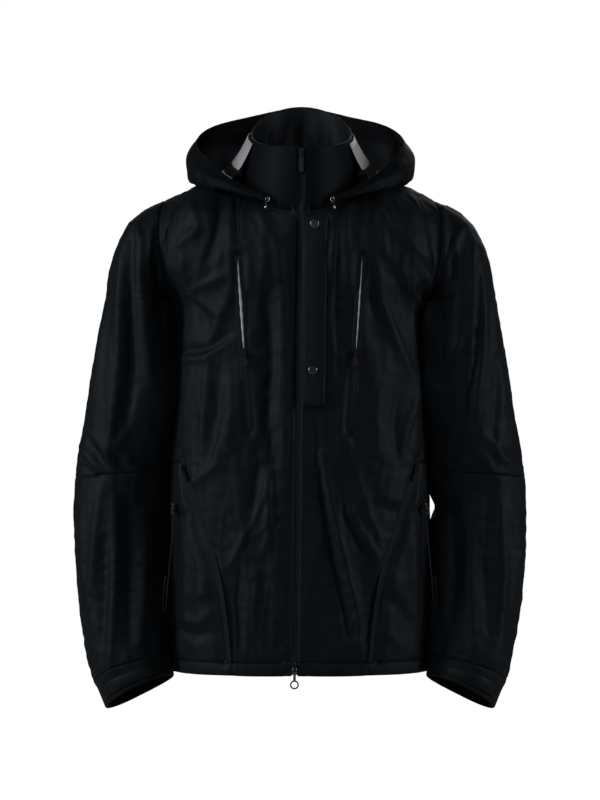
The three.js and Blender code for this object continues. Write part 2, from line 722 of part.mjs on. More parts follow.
// Placket flap beside the zip, closed by two snaps. Its sewn edge is away from the zip.
const placket = { inner: 7.8, outer: 40, low: 396, high: 676, out: 4.6, thick: 1.6, snapX: 21 };
const snapHeights = { upper: 665, lower: 449 };
const placketFrames = [placket.low, placket.high].map((height) => {
  const frame = closure[0];
  const share = (height - closureBottom.z) / (closureTop.z - closureBottom.z);
  return { ...frame, p: mix(closureBottom, closureTop, share) };
});
let flap = toSolid(
  bar(placketFrames, placket.inner, placket.outer, placket.out, placket.out + placket.thick),
);
for (const [level, height] of Object.entries(snapHeights)) {
  const group = new THREE.Group();
  const frame = closure[0];
  const up = closureTop.clone().sub(closureBottom).normalize();
  const basis = new THREE.Matrix4().makeBasis(frame.side, up, frame.out);
  group.quaternion.setFromRotationMatrix(basis);
  const share = (height - closureBottom.z) / (closureTop.z - closureBottom.z);
  group.position.copy(mix(closureBottom, closureTop, share)).addScaledVector(frame.side, placket.snapX);
  jacket.add(group);
  // Each turned piece as [radius, height] steps about the snap's axis, 0 being the body's inner face.
  const turned = (profilePoints) =>
    new THREE.LatheGeometry(profilePoints.map((p) => new THREE.Vector2(...p)), 12).rotateX(Math.PI / 2);
  const stud = [[0, 2.5], [4.4, 2.5], [4.4, 3.3], [1.9, 3.3], [1.9, 5.6], [0, 5.6]];
  const cap = [[0, 6.2], [2.6, 6.2], [2.6, 4], [3.4, 4], [3.4, 6.2], [6.6, 6.2], [6.6, 7.2], [5.6, 8], [0, 8]];
  add(group, "snap_stud_" + level, turned(stud), gunmetal);
  add(group, "snap_cap_" + level, turned(cap), gunmetal);
  group.updateMatrixWorld(true);
  const hole = new THREE.CylinderGeometry(3.8, 3.8, 12, 12).rotateX(Math.PI / 2).applyMatrix4(group.matrixWorld);
  flap = flap.subtract(toSolid(hole.translate(0, -4, 0)));
}
add(jacket, "placket_flap", toGeometry(flap), shellCloth);

// Sleeves: the head belongs to the body, the rest to the arm and forearm.
const cut = 0.06; // stations left open where two tubes meet
for (const [hand, side] of sides) {
  add(jacket, "sleeve_head_" + hand, sleevePart(side, 0.16, 4 - cut, 4), shellCloth);
  add(jacket, "upper_sleeve_" + hand, sleevePart(side, 4, 7 - cut, 4), shellCloth);
  add(jacket, "forearm_sleeve_" + hand, sleevePart(side, 7, 10.3 - cut, 5), shellCloth);
  add(jacket, "cuff_" + hand, sleevePart(side, 10.3, 11, 1), shellCloth);
  const centre = sleeveRing(side, 10.7).centre;
  const inwardOfCuff = (p) => centre.clone().sub(p).normalize();
  add(
    jacket,
    "cuff_tab_" + hand,
    sheet((u, v) => cuffTabAt(side, u, v), 8, 1, inwardOfCuff, -cuffTab.thick),
    darkPlastic,
  );
}

// Hood: a base sewn into the neck seam, then the panels that lift, the brim and the cord inside it.
const hoodPanel = (u0, u1, v0, v1, across, along) =>
  sheet((u, v) => hood(lerp(u0, u1, u), lerp(v0, v1, v)), across, along, towardsHead);
const gap = 0.01;
const sidePanelU = 0.404;
const brimV = 0.92;
add(jacket, "hood_base", sheet(hoodBase, 20, 3, towardsHead), greyCloth);
add(jacket, "hood_side_right", hoodPanel(hoodHinge.u, sidePanelU - gap / 3, hoodFloorV, brimV - gap, 6, 4), shellCloth);
add(jacket, "hood_centre_panel", hoodPanel(sidePanelU, 1 - sidePanelU, hoodFloorV, brimV - gap, 4, 4), shellCloth);
add(jacket, "hood_side_left", hoodPanel(1 - sidePanelU + gap / 3, 1 - hoodHinge.u, hoodFloorV, brimV - gap, 6, 4), shellCloth);
add(jacket, "hood_brim", hoodPanel(hoodHinge.u, 1 - hoodHinge.u, brimV, 1, 16, 1), shellCloth);
const hoodCordPoints = stationsBetween(0.14, 0.86, 18).map((u) => {
  const p = hood(u, 0.96);
  return p.addScaledVector(towardsHead(p), 9);
});
add(jacket, "hood_draw_cord", cord(spline(hoodCordPoints), 1.3, 24, 5), liningCloth);

// Cord locks: a barrel with a cross hole for the cord, and a sprung plunger that slides in it.
function cordLock(parent, name, place, scale) {
  const group = new THREE.Group();
  group.position.copy(place);
  group.scale.setScalar(scale);
  parent.add(group);
  const barrel = toSolid(new THREE.CylinderGeometry(4.6, 4, 13, 12).rotateX(Math.PI / 2));
  const bore = toSolid(new THREE.CylinderGeometry(3, 3, 10, 12).rotateX(Math.PI / 2).translate(0, 0, 3.6));
  const way = toSolid(new THREE.CylinderGeometry(1.9, 1.9, 12, 10));
  add(group, name + "_barrel", toGeometry(barrel.subtract(bore).subtract(way)), darkPlastic);
  const stem = toSolid(new THREE.CylinderGeometry(2.7, 2.7, 7, 12).rotateX(Math.PI / 2).translate(0, 0, 6.5));
  const knob = toSolid(new THREE.CylinderGeometry(3.6, 4.2, 2, 12).rotateX(Math.PI / 2).translate(0, 0, 11));
  add(group, name + "_button", toGeometry(stem.add(knob)), darkPlastic);
}
for (const [hand, side] of sides) {
  cordLock(jacket, "waist_lock_" + hand, vec(side * 188, -66, 240), 0.9);
  const hang = spline([
    vec(side * 188, -66, 232),
    vec(side * 191, -70, 200),
    vec(side * 196, -68, 140),
    vec(side * 200, -60, 96),
    vec(side * 203, -56, 90),
    vec(side * 204, -56, 98),
    vec(side * 201, -62, 140),
  ]);
  add(jacket, "waist_cord_" + hand, cord(hang, 1.1, 14, 5), liningCloth);
}

// Everything above is drawn from the middle of the hem plane. The jacket's own origin is where it hangs:
// the middle of the hanger loop's front face.
jacket.position.set(0, loop.thick / 2 - loop.y, -loop.z);

export default jacket;
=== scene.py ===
"""Looks of a hooded hardshell jacket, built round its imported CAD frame.

Lengths in this file are millimetres until a mesh is made. The front faces -Y, +X is the wearer's left.
"""

import math

import bmesh
import bpy
import numpy as np
from mathutils import Matrix, Vector, bvhtree, kdtree, noise


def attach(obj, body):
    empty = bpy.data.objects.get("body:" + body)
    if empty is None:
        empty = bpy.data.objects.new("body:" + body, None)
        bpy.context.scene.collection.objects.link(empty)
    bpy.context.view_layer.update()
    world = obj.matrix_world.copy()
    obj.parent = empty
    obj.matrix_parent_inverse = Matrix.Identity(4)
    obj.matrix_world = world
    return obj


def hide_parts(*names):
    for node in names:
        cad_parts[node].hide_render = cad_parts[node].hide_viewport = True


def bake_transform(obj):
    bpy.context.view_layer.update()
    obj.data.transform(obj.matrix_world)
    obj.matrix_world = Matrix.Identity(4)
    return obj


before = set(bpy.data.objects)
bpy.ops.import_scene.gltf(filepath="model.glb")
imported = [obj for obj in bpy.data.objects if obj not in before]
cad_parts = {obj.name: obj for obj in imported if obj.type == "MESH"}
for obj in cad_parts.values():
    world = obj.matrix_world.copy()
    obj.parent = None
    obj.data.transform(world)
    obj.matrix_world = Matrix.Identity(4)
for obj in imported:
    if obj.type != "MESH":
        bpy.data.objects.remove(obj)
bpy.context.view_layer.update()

MM = 0.001
ARMPIT_Z = 554
SHELL_TOP = 740
HEM_HEIGHT = 20
NECK_SHARE = 0.42  # the part of a front's or back's top edge that is neck; the rest is shoulder
ROUNDNESS = 2.4  # the power of the body's outline: 2 would be an ellipse
NECK_HALF, NECK_FRONT_Z, NECK_BACK_Y, NECK_BACK_Z = 88, 685, 78, 752
NECK_SIDE_Y, NECK_SIDE_Z = 5, 745
SHOULDER_TIP, SHOULDER_ARCH = (200, 5, 706), 7
ARMHOLE_DEPTH, ARMHOLE_SWELL = 67, 14
CLOSURE_BOTTOM = np.array([-8.0, -146.0, 2.0])
CLOSURE_TOP = np.array([2.0, -106.0, 778.0])
SIDES = (("left", 1), ("right", -1))
UP = np.array([0.0, 0.0, 1.0])
# The shared frame's origin, at the hanger loop, in metres from the middle of the hem.
DATUM = Vector((0, 0.0512, 0.764))


# ---------------------------------------------------------------- small maths


def vec(*xyz):
    return np.array(xyz, float)


def lerp(a, b, t):
    return a + (b - a) * t


def unit(v):
    return v / max(float(np.linalg.norm(v)), 1e-9)


def smooth(low, high, x):
    """0 at low and 1 at high, easing in between; low may be the larger."""
    t = np.clip((x - low) / (high - low), 0, 1)
    return t * t * (3 - 2 * t)


def running_length(points):
    """Distance along a line of points, 0 at its first point."""
    return np.concatenate([[0], np.cumsum(np.linalg.norm(np.diff(points, axis=0), axis=1))])


def profile(knots):
    """A smooth value through (position, value) knots."""
    xs = [k[0] for k in knots]
    ys = [k[1] for k in knots]

    def slope(i):
        a, b = max(i - 1, 0), min(i + 1, len(xs) - 1)
        return (ys[b] - ys[a]) / (xs[b] - xs[a])

    def value(x):
        x = min(max(x, xs[0]), xs[-1])
        i = 0
        while i < len(xs) - 2 and x > xs[i + 1]:
            i += 1
        w = xs[i + 1] - xs[i]
        t = (x - xs[i]) / w
        bend = slope(i) * t * (1 - t) ** 2 - slope(i + 1) * t * t * (1 - t)
        return lerp(ys[i], ys[i + 1], t * t * (3 - 2 * t)) + w * bend

    return value


def spline(points):
    """Catmull-Rom curve through the points, as a function of 0 to 1."""
    pts = np.array(points, float)
    last = len(pts) - 1

    def at(t):
        x = min(max(t, 0.0), 1.0) * last
        i = min(int(x), last - 1)
        f = x - i
        p1, p2 = pts[i], pts[i + 1]
        p0 = pts[i - 1] if i > 0 else 2 * p1 - p2
        p3 = pts[i + 2] if i + 2 <= last else 2 * p2 - p1
        a = 2 * p1
        b = (p2 - p0) * f
        c = (2 * p0 - 5 * p1 + 4 * p2 - p3) * f * f
        d = (3 * p1 - p0 - 3 * p2 + p3) * f**3
        return (a + b + c + d) / 2

    return at


# ---------------------------------------------------------------- the torso's form

half_width = profile([(0, 197), (250, 196), (450, 189), (ARMPIT_Z, 188)])
back_depth = profile([(0, 122), (250, 116), (480, 134), (ARMPIT_Z, 136)])


def closure(z):
    """The centre-front line at height z."""
    share = (z - CLOSURE_BOTTOM[2]) / (CLOSURE_TOP[2] - CLOSURE_BOTTOM[2])
    return lerp(CLOSURE_BOTTOM, CLOSURE_TOP, share)


def quarter(face, side, s, z):
    """The body's outline below the armpits, s from centre to side."""
    angle = s * math.pi / 2
    along = math.sin(angle) ** (2 / ROUNDNESS)
    deep = max(math.cos(angle), 0) ** (2 / ROUNDNESS)
    front = closure(z)
    middle = front[0] if face == "front" else 0
    depth = front[1] if face == "front" else back_depth(z)
    return vec(lerp(middle, side * half_width(z), along), depth * deep, z)


def neck_seam(side, degrees):
    """Collar seam: 0 is centre front, 90 the shoulder, 180 centre back."""
    sine, cosine = math.sin(math.radians(degrees)), math.cos(math.radians(degrees))
    front = closure(NECK_FRONT_Z)
    if degrees <= 90:
        x = lerp(front[0], side * NECK_HALF, sine)
        return vec(x, lerp(NECK_SIDE_Y, front[1], cosine), lerp(NECK_SIDE_Z, NECK_FRONT_Z, cosine))
    y = lerp(NECK_SIDE_Y, NECK_BACK_Y, -cosine)
    return vec(side * NECK_HALF * sine, y, lerp(NECK_SIDE_Z, NECK_BACK_Z, -cosine))


def top_edge(face, side, s):
    """The top of a front or back: the neck seam, then the shoulder seam."""
    if s <= NECK_SHARE:
        turn = 90 * s / NECK_SHARE
        return neck_seam(side, turn if face == "front" else 180 - turn)
    share = (s - NECK_SHARE) / (1 - NECK_SHARE)
    tip_x, tip_y, tip_z = SHOULDER_TIP
    p = lerp(neck_seam(side, 90), vec(side * tip_x, tip_y, tip_z), share)
    p[2] += SHOULDER_ARCH * math.sin(math.pi * share)
    return p


def armhole(face, side, share):
    """The armhole's front or back half, from the armpit to the shoulder's tip."""
    angle = math.pi * share
    deep = (-ARMHOLE_DEPTH if face == "front" else ARMHOLE_DEPTH) * math.sin(angle)
    x = half_width(ARMPIT_Z) + 12 * share + ARMHOLE_SWELL * math.sin(angle)
    z = lerp(ARMPIT_Z, SHOULDER_TIP[2], (1 - math.cos(angle)) / 2)
    return vec(side * x, deep + SHOULDER_TIP[1] * share, z)


def centre_line(face, share):
    """The centre of the front or back above the armpits."""
    if face == "front":
        return closure(lerp(ARMPIT_Z, NECK_FRONT_Z, share))
    y = lerp(back_depth(ARMPIT_Z), NECK_BACK_Y, share) + 16 * math.sin(math.pi * share)
    return vec(0, y, lerp(ARMPIT_Z, NECK_BACK_Z, share))


BULGE = {"front": vec(0, -19, 17), "back": vec(0, 24, 18)}  # how chest and shoulder blades stand out


def torso(face, side, s, z):
    """A point of the body, s from centre to side. Above the armpit z runs on to SHELL_TOP at the top edge."""
    if z <= ARMPIT_Z:
        return quarter(face, side, s, z)
    share = (z - ARMPIT_Z) / (SHELL_TOP - ARMPIT_Z)
    across = lerp(quarter(face, side, s, ARMPIT_Z), top_edge(face, side, s), share)
    upright = lerp(centre_line(face, share), armhole(face, side, share), s)
    low = lerp(quarter(face, side, 0, ARMPIT_Z), quarter(face, side, 1, ARMPIT_Z), s)
    high = lerp(top_edge(face, side, 0), top_edge(face, side, 1), s)
    p = across + upright - lerp(low, high, share)
    return p + BULGE[face] * math.sin(math.pi * share) * math.sin(math.pi * s) ** 2


def s_where(side, z, x_of_z):
    """The share of the front quarter at which the row z crosses the line x_of_z (given for the left)."""
    low, high = 0.0, 1.0
    for _ in range(26):  # halvings
        mid = (low + high) / 2
        p = torso("front", side, mid, z)
        if side * p[0] < x_of_z(p[2]):
            low = mid
        else:
            high = mid
    return (low + high) / 2


# ---------------------------------------------------------------- zip lines, for the wearer's left

# Ends (x, z) on the wearer's left, and the height of the chest slider, above which the zip is open.
CHEST_LOW, CHEST_HIGH, CHEST_OPEN = (75, 362), (92, 616), 474
POCKET_TOP, POCKET_BEND, POCKET_FOOT = (176, 314), (131, 172), (107, 24)
POCKET_REACH = 56  # how far the straight part's direction carries into the bow
ZIP_DEPTH = 2  # how far the tapes lie behind the shell's outline


def front_at(x, z):
    """The point of the body's front, below the armpits, at x and z."""
    middle = closure(z)
    share = abs((x - middle[0]) / (math.copysign(half_width(z), x) - middle[0]))
    return vec(x, middle[1] * (1 - share**ROUNDNESS) ** (1 / ROUNDNESS), z)


def away_from_core(p):
    """The level direction outwards from the body's middle."""
    return unit(vec(p[0] * 0.9, p[1], 0))


def chest_line(side):
    """Lower and upper end of the chest zip."""
    (low_x, low_z), (high_x, high_z) = CHEST_LOW, CHEST_HIGH
    low_y = front_at(side * low_x, low_z)[1]
    high_y = torso("front", side, 0.3, 628)[1]
    return vec(side * low_x, low_y + ZIP_DEPTH, low_z), vec(side * high_x, high_y + ZIP_DEPTH, high_z)


def pocket_line(side):
    """Its top, the points of its bow from foot to bend, and the outward direction of its straight part."""

    def inset(x, z):
        p = front_at(side * x, z)
        return p - ZIP_DEPTH * away_from_core(p)

    top, bend, foot = inset(*POCKET_TOP), inset(*POCKET_BEND), inset(*POCKET_FOOT)
    control = bend + POCKET_REACH * unit(bend - top)
    bow = []
    for k in range(13):
        t = k / 12
        bow.append((1 - t) ** 2 * bend + 2 * t * (1 - t) * control + t * t * foot)
    return top, bow[::-1], away_from_core(lerp(bend, top, 0.6))


def line_x(points):
    """x of a line on the left of the body as a function of z."""
    zs = np.array([p[2] for p in points])
    xs = np.array([abs(p[0]) for p in points])
    order = np.argsort(zs)
    return lambda z: float(np.interp(z, zs[order], xs[order]))


# ---------------------------------------------------------------- sleeves

# Along the sleeve: inner edge x and z, outer edge x and z, middle y, half depth, forward pitch in degrees.
STATIONS = [
    (190, 554, 200, 706, 4, 67, 0),
    (193, 551, 238, 687, 3, 69, 0),
    (195, 549, 268, 652, 2, 70, 0),
    (196, 547, 286, 606, 2, 71, 0),
    (197, 542, 294, 552, 2, 72, 0),
    (195, 480, 307, 482, 4, 72, 0),
    (197, 400, 321, 400, 6, 71, 1),
    (205, 298, 338, 290, 8, 69, 3),
    (207, 196, 339, 186, -2, 66, 7),
    (207, 106, 329, 84, -20, 60, 10),
    (206, 34, 313, 4, -44, 53, 12),
    (197, -6, 290, -54, -60, 47, 14),
]
LAST = len(STATIONS) - 1
inner_edge = spline([(a, y, z) for a, z, _, _, y, _, _ in STATIONS])
outer_edge = spline([(b, y, z) for _, _, b, z, y, _, _ in STATIONS])
depth_pitch = spline([(d, p, 0) for *_, d, p in STATIONS])
ELBOW, WRIST = 7, 10.3  # the stations of the elbow seam and the cuff's seam

# How far the inner side leans over towards the body, by height.
lean = profile([
    (-60, 3), (20, 12), (60, 15), (106, 14), (200, 14), (300, 12), (400, 12), (470, 14), (520, 15), (552, 10),
])
FOLD_OVER = (34, 20)  # how far the upper sleeve folds over the body's front, inwards and forwards


def bump(x, centre, width):
    """1 at the centre, falling to nothing within about two widths of it."""
    return math.exp(-(((x - centre) / width) ** 2))


def pressed(side, p, angle):
    """The sleeve's inner side leans on the body and, above the elbow, folds over its front."""
    z = p[2]
    inner = max(0.0, -math.cos(angle))
    forward = inner * max(0.0, math.sin(-angle))
    over = bump(z, 420, 85) * (1.0 if side < 0 else 0.55)
    gap = 1 - 0.85 * bump(z, 243, 17) if side > 0 else 1  # daylight shows here on the wearer's left
    low = float(smooth(557, 549, z))
    p[0] -= side * low * (lean(z) * inner**1.3 * gap + FOLD_OVER[0] * forward * over)
    p[1] -= low * FOLD_OVER[1] * forward * over
    return p


def sleeve_point(side, station, angle, swell=0.0):
    """A point of the sleeve, angle in radians: 0 is its outer edge, pi / 2 its back, pi its inner edge."""
    t = station / LAST
    low, high = inner_edge(t), outer_edge(t)
    half, pitch, _ = depth_pitch(t)
    centre = (low + high) / 2
    reach = high - centre
    reach = reach * (1 + swell / np.linalg.norm(reach))
    back = vec(0, math.cos(math.radians(pitch)), -math.sin(math.radians(pitch)))
    p = centre + reach * math.cos(angle) + back * (half + swell) * math.sin(angle)
    p[0] += ARMHOLE_SWELL * abs(math.sin(angle)) * max(0.0, 1 - station / 3)
    p[0] *= side
    return pressed(side, p, angle)


# ---------------------------------------------------------------- collar and hood


# The collar's top edge; it rises to the back.
COLLAR_HALF, COLLAR_SIDE_Y, COLLAR_BACK_Y, COLLAR_RISE = 77, -5, 82, 72
COLLAR_GIRTH = 560
COLLAR_PADDING = (8.6, 4.2)  # thickness at the seam and at the top


def collar_top(side, degrees):
    """Collar top edge: 0 is centre front, 180 centre back."""
    sine, cosine = math.sin(math.radians(degrees)), math.cos(math.radians(degrees))
    y = lerp(COLLAR_SIDE_Y, CLOSURE_TOP[1] if degrees <= 90 else COLLAR_BACK_Y, abs(cosine))
    x = lerp(CLOSURE_TOP[0], CLOSURE_TOP[0] + side * COLLAR_HALF, sine)
    return vec(x, y, CLOSURE_TOP[2] + 2 + COLLAR_RISE * ((1 - cosine) / 2) ** 1.6)


def into_neck(p):
    return unit(vec(-p[0], -(p[1] - COLLAR_SIDE_Y), 0))


def collar(u, v):
    """u runs from the wearer's right front past the back to the left front, v from seam to top edge."""
    side = -1 if u < 0.5 else 1
    degrees = 360 * (u if u < 0.5 else 1 - u)
    p = lerp(neck_seam(side, degrees), collar_top(side, degrees), v)
    return p - into_neck(p) * 3 * math.sin(math.pi * v)


# Lines round the left half of the hood, from its front corner to its centre back; the first is the neck seam.
HOOD_RAILS = [
    [(47, -104, 694), (64, -82, 708), (82, -58, 722), (94, -24, 738),
     (96, 18, 752), (82, 56, 760), (45, 84, 761), (0, 90, 761)],
    [(48, -107, 696), (78, -85, 710), (104, -60, 719), (128, -26, 727),
     (140, 20, 737), (122, 96, 738), (70, 148, 734), (0, 160, 732)],
    [(49, -109, 698), (86, -94, 709), (124, -70, 719), (154, -34, 726),
     (167, 24, 738), (156, 118, 735), (94, 196, 728), (0, 222, 724)],
    [(49, -109, 702), (86, -96, 716), (124, -72, 733), (156, -36, 750),
     (171, 22, 770), (160, 112, 792), (96, 202, 800), (0, 234, 798)],
    [(48, -107, 706), (82, -91, 722), (116, -67, 743), (144, -32, 770),
     (158, 22, 796), (138, 100, 824), (80, 172, 846), (0, 200, 862)],
]
hood_rails = [spline([(-x, y, z) for x, y, z in rail] + rail[-2::-1]) for rail in HOOD_RAILS]


def hood(u, v):
    """u runs from the right front corner past the back to the left one, v from the neck seam to the rim."""
    return spline([rail(u) for rail in hood_rails])(v)


# ---------------------------------------------------------------- meshes


def add_object(name, data):
    obj = bpy.data.objects.new(name, data)
    bpy.context.scene.collection.objects.link(obj)
    return obj


def make_object(name, points, faces, materials, uvs=None, slots=None, shade=True):
    """A mesh object in metres from points in millimetres. uvs holds one pair per face corner."""
    mesh = bpy.data.meshes.new(name)
    mesh.from_pydata((np.asarray(points) * MM).tolist(), [], [list(map(int, f)) for f in faces])
    for m in materials:
        mesh.materials.append(m)
    if slots is not None:
        mesh.polygons.foreach_set("material_index", np.asarray(slots, np.int32))
    if uvs is not None:
        layer = mesh.uv_layers.new(name="UVMap")
        layer.data.foreach_set("uv", np.asarray(uvs, np.float32).ravel())
    mesh.polygons.foreach_set("use_smooth", np.full(len(mesh.polygons), shade))
    mesh.update()
    return add_object(name, mesh)


class Cloth:
    """Collects grid patches into one welded mesh."""

    def __init__(self):
        self.points, self.faces, self.uvs, self.tags, self.keys = [], [], [], [], {}

    def vertex(self, p):
        key = tuple(np.round(p, 2))
        if key not in self.keys:
            self.keys[key] = len(self.points)
            self.points.append(p)
        return self.keys[key]

    def patch(self, grid, uv, tag, flip=False):
        """grid[r][c] points, uv[r][c] pairs; tag(r, c) names the cell's region or None for no cell."""
        ids = [[self.vertex(p) for p in row] for row in grid]
        for r in range(len(grid) - 1):
            for c in range(len(grid[0]) - 1):
                name = tag(r, c)
                if name is None:
                    continue
                corners = [(r, c), (r, c + 1), (r + 1, c + 1), (r + 1, c)]
                if flip:
                    corners.reverse()
                face = [ids[a][b] for a, b in corners]
                if len(set(face)) < 3:
                    continue
                if len(set(face)) == 3:
                    keep = [k for k in range(4) if face[k] not in face[:k]]
                    corners = [corners[k] for k in keep]
                    face = [face[k] for k in keep]
                self.faces.append(face)
                self.uvs.extend(uv[a][b] for a, b in corners)
                self.tags.append(name)
        return ids


def arrays(mesh):
    """The mesh's points, in metres, and their normals."""
    co = np.empty(len(mesh.vertices) * 3)
    mesh.vertices.foreach_get("co", co)
    normal = np.empty(len(mesh.vertices) * 3)
    mesh.vertices.foreach_get("normal", normal)
    return co.reshape(-1, 3), normal.reshape(-1, 3)


def put(mesh, co):
    """Gives the mesh's points the positions co, in metres."""
    mesh.vertices.foreach_set("co", co.ravel())
    mesh.update()


def evaluated(obj):
    """The mesh of obj with its modifiers applied, which then go."""
    graph = bpy.context.evaluated_depsgraph_get()
    mesh = bpy.data.meshes.new_from_object(obj.evaluated_get(graph), depsgraph=graph)
    obj.modifiers.clear()
    old = obj.data
    obj.data = mesh
    bpy.data.meshes.remove(old)
    return mesh


def subdivide(obj):
    """Splits every face in four and rounds the mesh."""
    mod = obj.modifiers.new("smooth", "SUBSURF")
    mod.levels = mod.render_levels = 1
    mod.boundary_smooth = "PRESERVE_CORNERS"
    mod.use_limit_surface = False
    return evaluated(obj)


def part_of(obj, name, keep, materials):
    """A new object made of the polygons of obj for which keep is true."""
    mesh = obj.data
    loops = np.empty(len(mesh.loops), np.int32)
    mesh.loops.foreach_get("vertex_index", loops)
    uv = np.empty(len(mesh.loops) * 2, np.float32)
    mesh.uv_layers[0].data.foreach_get("uv", uv)
    uv = uv.reshape(-1, 2)
    co, _ = arrays(mesh)
    faces, corners = [], []
    new = {}
    for poly in mesh.polygons:
        if not keep[poly.index]:
            continue
        span = range(poly.loop_start, poly.loop_start + poly.loop_total)
        faces.append([new.setdefault(int(loops[k]), len(new)) for k in span])
        corners.extend(uv[k] for k in span)
    points = co[list(new)] / MM
    return make_object(name, points, faces, materials, corners)


def boundary(mesh):
    """Indices of the vertices on the mesh's open edges."""
    count = {}
    for poly in mesh.polygons:
        for key in poly.edge_keys:
            count[key] = count.get(key, 0) + 1
    return sorted({v for key, n in count.items() if n == 1 for v in key})


def thicken(obj, thickness, lining=True):
    """Gives a sheet its thickness inwards; with lining, the inner face takes the second material."""
    mod = obj.modifiers.new("cloth", "SOLIDIFY")
    mod.thickness = thickness * MM
    mod.offset = -1.0
    mod.use_rim = True
    if lining:
        mod.material_offset = 1
    return evaluated(obj)


def joined(name, objects):
    """One object from several, keeping each one's materials."""
    bpy.ops.object.select_all(action="DESELECT")
    for o in objects:
        o.select_set(True)
    bpy.context.view_layer.objects.active = objects[0]
    if len(objects) > 1:
        bpy.ops.object.join()
    objects[0].name = objects[0].data.name = name
    return objects[0]


def sweep(name, rings, material, caps=True):
    """A closed skin through rings of points (all of one length)."""
    rows, count = len(rings), len(rings[0])
    points = [p for ring in rings for p in ring]
    faces, uvs = [], []
    lengths = running_length([np.mean(ring, 0) for ring in rings])
    around = running_length([*rings[0], rings[0][0]])
    for r in range(rows - 1):
        for k in range(count):
            n = (k + 1) % count
            faces.append([r * count + k, r * count + n, (r + 1) * count + n, (r + 1) * count + k])
            for a, b in ((r, k), (r, k + 1), (r + 1, k + 1), (r + 1, k)):
                uvs.append((around[b] * MM, lengths[a] * MM))
    if caps:
        faces.append(list(range(count))[::-1])
        uvs.extend((0, 0) for _ in range(count))
        faces.append([(rows - 1) * count + k for k in range(count)])
        uvs.extend((0, 0) for _ in range(count))
    obj = make_object(name, points, faces, [material], uvs)
    outward(obj)
    return obj


def sheet(columns, n, cell_u, cell_v):
    """Faces and UVs for columns + 1 lines of n points; a cell's UVs span cell_u by cell_v millimetres."""
    faces, uvs = [], []
    for c in range(columns):
        for k in range(n - 1):
            corners = (c, k), (c + 1, k), (c + 1, k + 1), (c, k + 1)
            faces.append([a * n + b for a, b in corners])
            uvs.extend((a * cell_u * MM, b * cell_v * MM) for a, b in corners)
    return faces, uvs


def outward(obj):
    """Turns a closed mesh's faces outwards."""
    mesh = obj.data
    volume = 0.0
    for poly in mesh.polygons:
        vs = [mesh.vertices[i].co for i in poly.vertices]
        for k in range(1, len(vs) - 1):
            volume += vs[0].dot(vs[k].cross(vs[k + 1]))
    if volume < 0:
        mesh.flip_normals()


def forwards(_):
    return vec(0, -1, 0)


def frames_along(points, out_of):
    """Centre, side and outward direction at each point of a line."""
    made = []
    for i, p in enumerate(points):
        along = unit(points[min(i + 1, len(points) - 1)] - points[max(i - 1, 0)])
        out = out_of(p)
        out = unit(out - along * float(np.dot(out, along)))
        made.append((p, np.cross(along, out), out))
    return made


def cord_rings(points, radius, sides=8, twist=0.0):
    """Rings for a round cord through the points; twist makes it swell and thin as a braid does."""
    rings = []
    up = UP
    for i, p in enumerate(points):
        along = unit(points[min(i + 1, len(points) - 1)] - points[max(i - 1, 0)])
        side = np.cross(along, up)
        if np.linalg.norm(side) < 0.15:
            side = np.cross(along, vec(1, 0, 0))
        side = unit(side)
        other = np.cross(along, side)
        up = -other if np.dot(-other, up) > 0 else other
        swell = radius * (1 + 0.06 * math.cos(twist * i))
        rings.append([
            p + swell * (side * math.cos(a) + other * math.sin(a))
            for a in (2 * math.pi * k / sides for k in range(sides))
        ])
    return rings


def resample(points, step):
    """The line of points with a point about every step."""
    pts = np.array(points, float)
    length = running_length(pts)
    count = max(int(round(length[-1] / step)), 2)
    at = np.linspace(0, length[-1], count + 1)
    return [np.array([np.interp(a, length, pts[:, k]) for k in range(3)]) for a in at]


# ---------------------------------------------------------------- materials


class Nodes:
    """A material's node tree with short ways to add and link nodes."""

    def __init__(self, name):
        self.material = bpy.data.materials.new(name)
        self.material.use_nodes = True
        self.tree = self.material.node_tree
        self.shader = self.tree.nodes["Principled BSDF"]

    def add(self, kind, **values):
        node = self.tree.nodes.new(kind)
        for key, value in values.items():
            if key in node.inputs:
                node.inputs[key].default_value = value
            else:
                setattr(node, key, value)
        return node

    def link(self, a, b):
        self.tree.links.new(a, b)

    def noise(self, coords, scale, detail=3.0, rough=0.5):
        node = self.add("ShaderNodeTexNoise", Scale=scale, Detail=detail, Roughness=rough)
        self.link(coords, node.inputs["Vector"])
        return node.outputs["Fac"]

    def math(self, operation, a, b=0.0):
        node = self.add("ShaderNodeMath", operation=operation)
        for k, value in enumerate((a, b)):
            if hasattr(value, "links"):
                self.link(value, node.inputs[k])
            else:
                node.inputs[k].default_value = value
        return node.outputs[0]

    def ramp(self, value, *stops):
        node = self.add("ShaderNodeValToRGB")
        stops = list(stops)
        while len(node.color_ramp.elements) < len(stops):
            node.color_ramp.elements.new(0.5)
        for element, (at, color) in zip(node.color_ramp.elements, stops):
            element.position = at
            element.color = (*color, 1) if len(color) == 3 else color
        self.link(value, node.inputs[0])
        return node.outputs[0]


